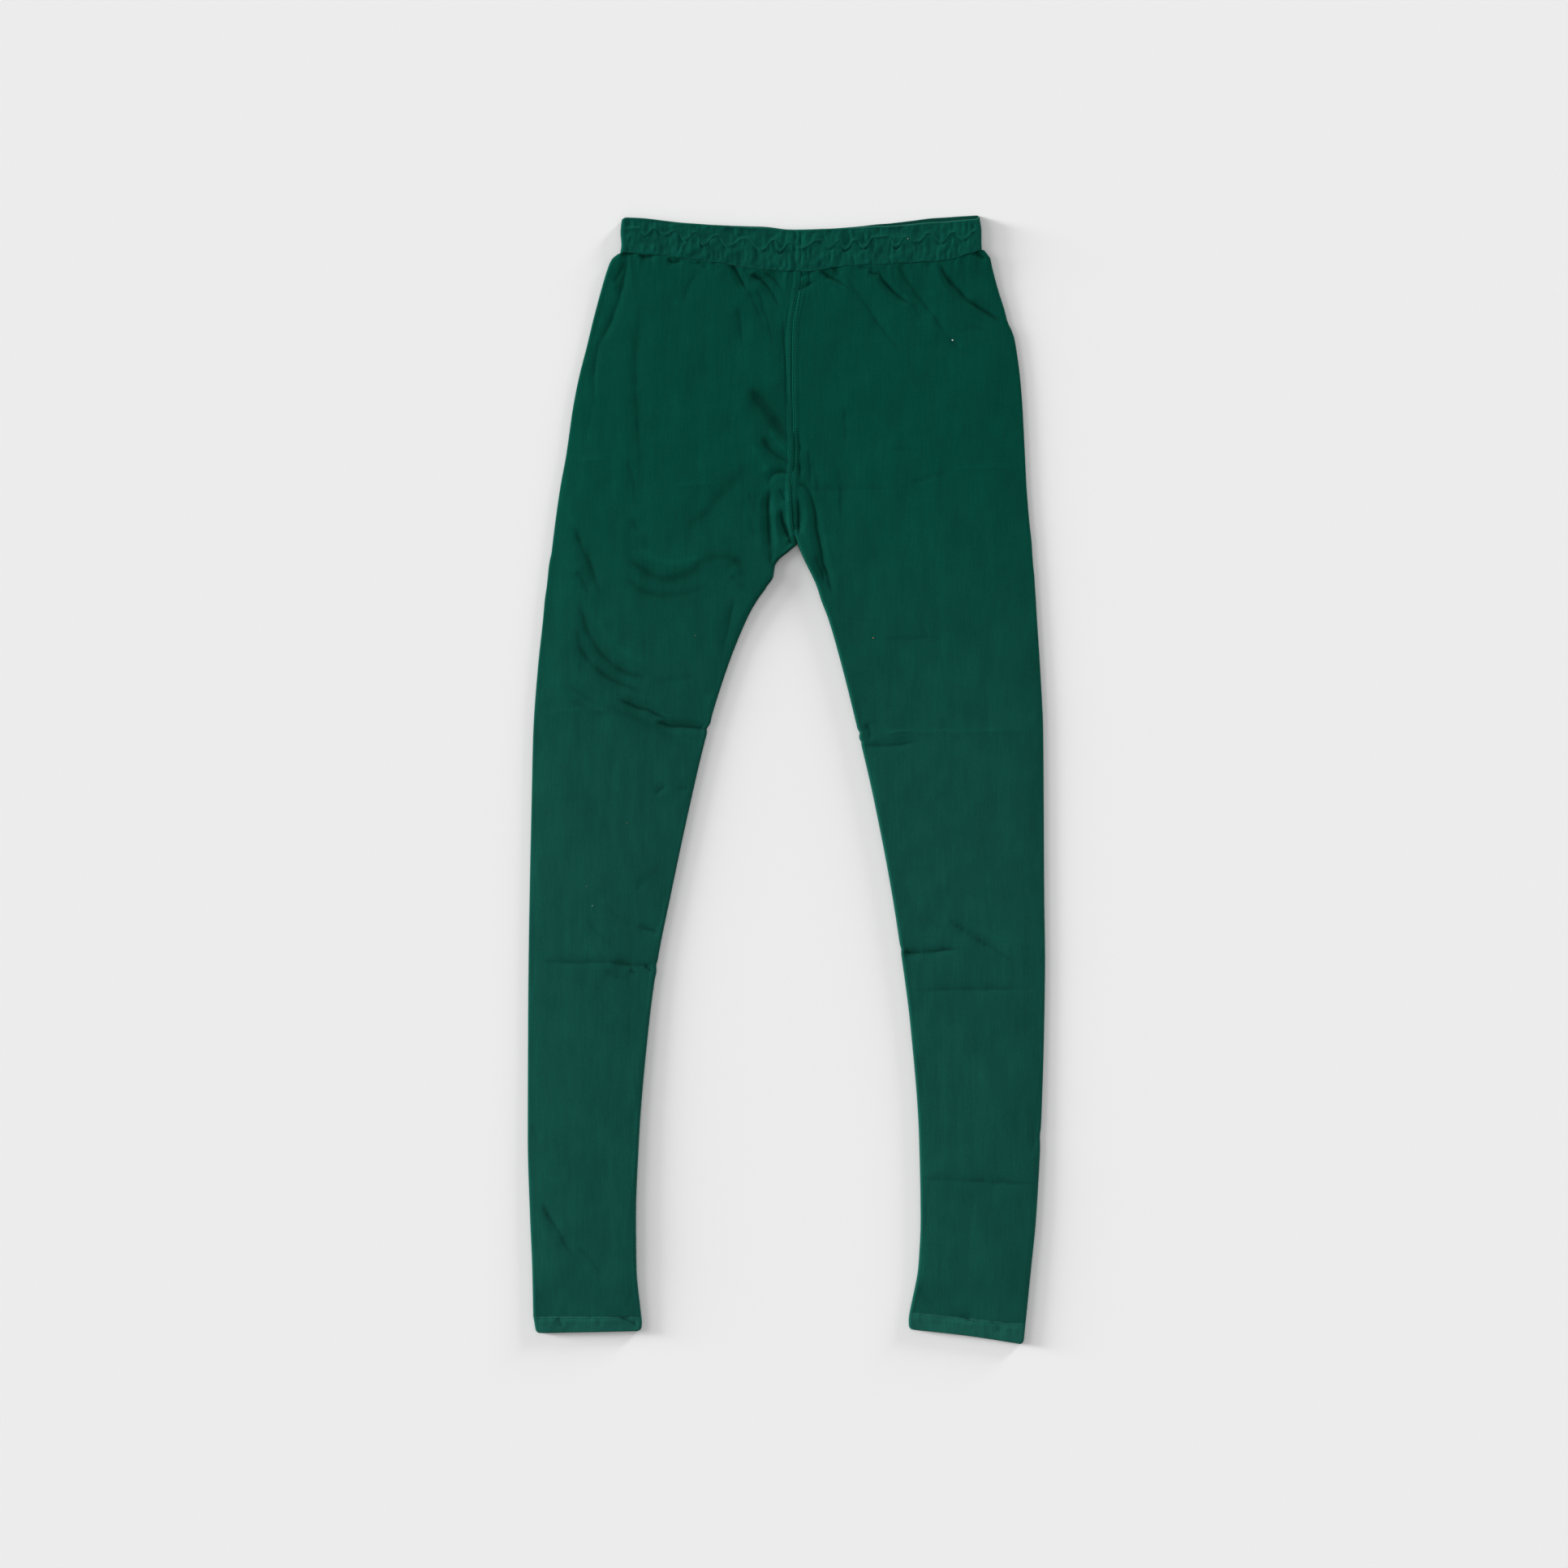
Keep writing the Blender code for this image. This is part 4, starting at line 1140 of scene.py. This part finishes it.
def make_hem(leg, material):
    def ring(share):
        low, high = (leg.hem_side(edge, share) for edge in ("inner", "outer")[::leg.sign])
        rounding = np.clip((share - 1.0 + HEM_CORNER_SHARE) / HEM_CORNER_SHARE, 0.0, 1.0)
        inset = HEM_CORNER_ROUND * (1.0 - math.sqrt(1.0 - 0.96 * rounding**2))
        bulge = HEM_BULGE * math.sin(math.pi * share)
        left = low[0] + (inset - (bulge if leg.sign > 0 else 0.0))
        right = high[0] - (inset - (bulge if leg.sign < 0 else 0.0))

        def row_y(x, frontness=1.0):
            across = (x - left) / (right - left)
            bow = HEM_BOW[leg.name] * share * np.sin(math.pi * np.clip(across, 0.0, 1.0))
            return mix(low[1], high[1], across) - SEAM_GAP / 2 * (1.0 - share) + bow

        def front(x):
            across = np.linspace(0.0, 1.0, len(x))
            edges = smooth(across / 0.05) * smooth((1.0 - across) / 0.05)
            groove = -HEM_GROOVE * bell(share - HEM_STITCH_SHARE, 0.05)
            ridge = HEM_RIDGE * bell(share - 0.3, 0.12)
            puckers = uneven("hem pucker", x, 10.0 * share) * (1.0 - 0.7 * share)
            twist = uneven("hem twist", x, 14.0 * share)
            relief = edges * (groove + ridge + puckers + twist)
            creases, shade = crease_relief(HEM_CREASES, x, row_y(x), HEM_SEED)
            swell = HEM_SWELL * np.sin(math.pi * across)
            # Painted shade that follows the hem's relief and creases
            return HEM_FOLD + swell + relief + edges * creases, relief + edges * shade

        return ring_row(left, right, HEM_FOLD, HEM_STEPS, row_y, front, back=lambda x: 0.0)

    profile = wall_profile(steps=26, rim_steps=8, inside_steps=8, low_rim=0.006, high_rim=0.06)
    return make_ring(f"hem_{leg.name}_cloth", profile, ring, HEM_WALL, material)


def surface_height(objects, x, y, from_below=False):
    """Height in millimetres where a line straight through the pieces first meets one of them."""
    start = Vector((x * MM, y * MM, -0.02 if from_below else 0.04))
    way = Vector((0.0, 0.0, 1.0 if from_below else -1.0))
    found = []
    for obj in objects:
        hit, point = obj.ray_cast(start, way)[:2]
        if hit:
            found.append(point.z / MM)
    if not found:
        return None
    return min(found) if from_below else max(found)


def thread_dashes(name, dashes, material):
    """Short threads, each a small arched and tapered tube between two points."""
    points, faces = [], []
    for start, end, up in dashes:
        start, end = np.array(start), np.array(end)
        along = (end - start) / np.linalg.norm(end - start)
        lift = np.array((0.0, 0.0, up))
        side = np.cross(along, lift)
        side = side / np.linalg.norm(side)
        normal = np.cross(side, along)
        at = numbers(len(THREAD_STATIONS), THREAD_SIDES, first=len(points), close_columns=True)
        for share, size, rise in THREAD_STATIONS:
            middle = mix(start, end, share) + lift * THREAD_RADIUS * rise
            for k in range(THREAD_SIDES):
                turn = 2 * math.pi * k / THREAD_SIDES
                arm = side * math.cos(turn) + normal * math.sin(turn)
                points.append(middle + arm * THREAD_RADIUS * size)
        faces += grid_faces(at)
        faces += [at[0, -2::-1].tolist(), at[-1, :-1].tolist()]
    return add_object(name, points, faces, material)


def stitch_run(objects, line, kind, from_below=False):
    """Dashes along a line of points, laid on the surface."""
    pitch, length = STITCHES[kind]
    line = np.array(line, float)
    places = np.concatenate([[0.0], np.cumsum(np.hypot(*np.diff(line, axis=0).T))])
    sink, up = (THREAD_SINK, -1.0) if from_below else (0.0, 1.0)
    dashes = []
    for k in range(int(places[-1] / pitch)):
        ends = []
        for at in (k * pitch, k * pitch + length):
            x, y = (np.interp(at, places, line[:, axis]) for axis in (0, 1))
            z = surface_height(objects, x, y, from_below)
            if z is not None:
                ends.append((x, y, z + sink))
        if len(ends) == 2:
            dashes.append((*ends, up))
    return dashes


def make_seam_stitches(legs, material):
    levels = np.arange(*SEAM_STITCH_LEVELS)
    seam_x = curve(SEAM_SECTIONS, 2, levels)
    dashes = []
    for offset in SEAM_STITCH_OFFSETS:
        line = np.stack([seam_x + offset, levels], axis=-1)
        dashes += stitch_run(legs, line, "seam")
        dashes += stitch_run(legs, line, "seam", from_below=True)
    return thread_dashes("seam_stitches", dashes, material)


def make_band_stitches(band, material):
    x = np.arange(*BAND_STITCH_PLACES)
    dashes = stitch_run([band], np.stack([x, stitch_wave_y(x)], axis=-1), "band")
    for height in BAND_BACK_STITCH_HEIGHTS:
        line = np.stack([x, band_lower_edge(x, 0.0) + height], axis=-1)
        dashes += stitch_run([band], line, "band back", from_below=True)
    return thread_dashes("band_stitches", dashes, material)


def make_hem_stitches(leg, hem, material):
    inner, outer = (leg.hem_side(edge, HEM_STITCH_SHARE) for edge in ("inner", "outer"))
    line = [mix(inner, outer, share) for share in np.linspace(0.03, 0.97, 20)]
    dashes = stitch_run([hem], line, "hem") + stitch_run([hem], line, "hem", from_below=True)
    return thread_dashes(f"hem_{leg.name}_stitches", dashes, material)


def make_lint(cloth, kind, material):
    """Small tufts of lint, each a low lumpy blob."""
    rng = np.random.default_rng(LINT_SEED)
    points, faces = [], []
    for x, y, size in [row[:3] for row in LINT if row[3] == kind]:
        z = surface_height(cloth, x, y)
        tip = len(points)
        points.append((x, y, z + 0.22 * size))
        at = numbers(LINT_RINGS, LINT_SIDES, first=tip + 1, close_columns=True)
        for i in range(1, LINT_RINGS + 1):
            turn = math.pi / 2 * i / LINT_RINGS
            for k in range(LINT_SIDES):
                around = 2 * math.pi * k / LINT_SIDES
                arm = 0.5 * size * math.sin(turn) * rng.uniform(0.75, 1.25)
                points.append((
                    x + arm * math.cos(around),
                    y + 0.8 * arm * math.sin(around),
                    z - 0.1 + 0.32 * size * math.cos(turn),
                ))
        faces += [[tip, *pair] for pair in zip(at[0, :-1].tolist(), at[0, 1:].tolist())]
        faces += grid_faces(at.T) + [at[-1, -2::-1].tolist()]
    return add_object("lint_" + kind, points, faces, material)


def new_material(name, specular=0.0, sheen=SHEEN):
    """A rough material: itself, its node tree and its shader."""
    material = bpy.data.materials.new(name)
    material.use_nodes = True
    shader = material.node_tree.nodes["Principled BSDF"]
    shader.inputs["Roughness"].default_value = ROUGHNESS
    shader.inputs["Specular IOR Level"].default_value = specular
    shader.inputs["Sheen Weight"].default_value = sheen
    shader.inputs["Sheen Roughness"].default_value = 0.5
    return material, material.node_tree, shader


def add_node(tree, kind, output, inputs=(), **settings):
    """Adds a shader node and returns one of its outputs. An input is a plain value or an output."""
    node = tree.nodes.new("ShaderNode" + kind)
    for name, value in settings.items():
        setattr(node, name, value)
    for name, value in dict(inputs).items():
        if isinstance(value, bpy.types.NodeSocket):
            tree.links.new(value, node.inputs[name])
        else:
            node.inputs[name].default_value = value
    return node.outputs[output]


def grain_shade(tree, coords, name):
    """A factor that varies over the cloth, and the lumps behind it."""
    scale, detail, spread_of_shade = GRAINS[name]
    mapped = add_node(tree, "Mapping", "Vector", {"Vector": coords, "Scale": scale})
    lumps = add_node(tree, "TexNoise", "Fac", {"Vector": mapped, "Scale": 1.0, "Detail": detail})
    levels = {"From Min": 0.3, "From Max": 0.7}
    levels |= {"To Min": 1.0 - spread_of_shade, "To Max": 1.0 + spread_of_shade}
    return add_node(tree, "MapRange", "Result", {"Value": lumps, **levels}), lumps


def times(tree, first, second):
    return add_node(tree, "Math", "Value", {0: first, 1: second}, operation="MULTIPLY")


def bump(tree, lumps, strength, distance, **below):
    """Small lumps of a surface, on top of other lumps below them."""
    sizes = {"Strength": strength, "Distance": distance}
    return add_node(tree, "Bump", "Normal", {"Height": lumps, **sizes, **below})


def colour_by_height(tree, coords, high_colour, low_colour):
    """The cloth is a little lighter and bluer towards the ankles."""
    y = add_node(tree, "SeparateXYZ", "Y", {"Vector": coords})
    levels = {"Value": y, "From Min": CALF_AT, "From Max": HIP_AT}
    share = add_node(tree, "MapRange", "Result", levels, interpolation_type="SMOOTHSTEP")
    colours = {"A": low_colour, "B": high_colour, "Factor": share}
    return add_node(tree, "Mix", "Result", colours, data_type="VECTOR")


def paint(tree, shader, colour, factor):
    """Gives a shader a colour with an uneven shade."""
    shaded = add_node(tree, "VectorMath", "Vector", {0: colour, "Scale": factor}, operation="SCALE")
    tree.links.new(shaded, shader.inputs["Base Color"])


def jersey(name, colour, low_colour=None):
    """Cotton jersey: fine streaks along the knit, a soft grain, faint uneven patches, and painted shade:
    darker in creases, hollows and on sideways edges, lighter on ridges.
    """
    material, tree, shader = new_material(name)
    coords = add_node(tree, "TexCoord", "Object")
    (streak, ribs), (grain, fine), (patch, _) = (
        grain_shade(tree, coords, kind) for kind in ("streak", "grain", "patch")
    )
    # Painted shade from the mesh: it darkens the colour in creases, hollows and on sideways edges and
    # lightens it on ridges and pale spots
    painted_shade_and_spots = add_node(tree, "Attribute", "Fac", attribute_name="painted_shade_and_spots")
    painted_shade_and_spots = add_node(tree, "MapRange", "Result", {"Value": painted_shade_and_spots, **CREASE_SHADES})
    if low_colour:
        colour = colour_by_height(tree, coords, colour, low_colour)
    paint(tree, shader, colour, times(tree, times(tree, streak, grain), times(tree, patch, painted_shade_and_spots)))
    ribbed = bump(tree, ribs, 0.35, 0.00025)
    tree.links.new(bump(tree, fine, 0.35, 0.00025, Normal=ribbed), shader.inputs["Normal"])
    return material


def plain_fibre(name, colour):
    """Thread or lint: one colour with a fine uneven shade."""
    material, tree, shader = new_material(name, specular=0.03)
    shade, lumps = grain_shade(tree, add_node(tree, "TexCoord", "Object"), "fibre")
    paint(tree, shader, colour, shade)
    tree.links.new(bump(tree, lumps, 0.4, 0.0001), shader.inputs["Normal"])
    return material


def make_floor():
    mesh = bpy.data.meshes.new("floor")
    corners = ((-1, -1), (1, -1), (1, 1), (-1, 1))
    mesh.from_pydata([(FLOOR_REACH * x, FLOOR_REACH * y, 0.0) for x, y in corners], [], [(0, 1, 2, 3)])
    material, _, shader = new_material("floor", sheen=0.0)
    shader.inputs["Base Color"].default_value = (*FLOOR_COLOUR, 1.0)
    mesh.materials.append(material)
    place("floor", mesh)


def make_camera():
    data = bpy.data.cameras.new("camera")
    data.lens = LENS
    data.sensor_width = SENSOR
    camera = place("camera", data)
    height = FRAME_WIDTH * LENS / SENSOR + CLOTH_TOP
    camera.location = (FRAME_MIDDLE[0] * MM, FRAME_MIDDLE[1] * MM, height * MM)
    bpy.context.scene.camera = camera


def make_lights():
    for name, turn, rise, width, strength in LIGHTS:
        data = bpy.data.lights.new(name, "SUN")
        data.energy = strength
        data.angle = math.radians(width)
        turn, rise = math.radians(turn), math.radians(rise)
        level = math.cos(rise)
        towards = Vector((-level * math.cos(turn), level * math.sin(turn), math.sin(rise)))
        place(name, data).rotation_euler = towards.to_track_quat("Z", "Y").to_euler()
    world = bpy.data.worlds.new("studio")
    world.use_nodes = True
    background = world.node_tree.nodes["Background"]
    background.inputs["Color"].default_value = (1.0, 1.0, 1.0, 1.0)
    background.inputs["Strength"].default_value = FILL_STRENGTH
    bpy.context.scene.world = world
    bpy.context.scene.view_settings.view_transform = "Standard"


def build():
    make_camera()
    make_floor()
    make_lights()

    leg_jersey = jersey("leg_jersey", HIP_COLOUR, CALF_COLOUR)
    hem_jersey = jersey("hem_jersey", HEM_COLOUR)
    legs = {leg.name: make_leg(leg, leg_jersey) for leg in LEGS}
    hems = {leg.name: make_hem(leg, hem_jersey) for leg in LEGS}
    band = make_band(jersey("waistband_jersey", BAND_COLOUR))
    bpy.context.view_layer.update()

    seam_thread = plain_fibre("seam_thread", SEAM_THREAD_COLOUR)
    band_thread = plain_fibre("band_thread", BAND_THREAD_COLOUR)
    hem_thread = plain_fibre("hem_thread", HEM_THREAD_COLOUR)
    seam_stitches = make_seam_stitches(list(legs.values()), seam_thread)
    band_stitches = make_band_stitches(band, band_thread)
    hem_stitches = {leg.name: make_hem_stitches(leg, hems[leg.name], hem_thread) for leg in LEGS}
    cloth = [*legs.values(), band]
    lint = [
        make_lint(cloth, kind, plain_fibre("lint_" + kind, colour))
        for kind, colour in LINT_COLOURS.items()
    ]

    for obj, nodes, slot in (
        (legs["right"], ("leg_panel_right",), "leg_jersey"),
        (legs["left"], ("leg_panel_left",), "leg_jersey"),
        (band, ("waistband",), "waistband_jersey"),
        (hems["right"], ("hem_right",), "hem_jersey"),
        (hems["left"], ("hem_left",), "hem_jersey"),
    ):
        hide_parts(*nodes)
        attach(obj, "root")
    for obj in [seam_stitches, band_stitches, *hem_stitches.values(), *lint]:
        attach(obj, "root")


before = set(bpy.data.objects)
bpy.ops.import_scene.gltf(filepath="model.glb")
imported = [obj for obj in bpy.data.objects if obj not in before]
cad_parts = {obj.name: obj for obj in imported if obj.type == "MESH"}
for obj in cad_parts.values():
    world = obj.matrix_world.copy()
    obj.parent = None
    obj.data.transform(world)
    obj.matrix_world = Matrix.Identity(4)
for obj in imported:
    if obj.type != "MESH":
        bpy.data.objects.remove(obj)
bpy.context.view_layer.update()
build()
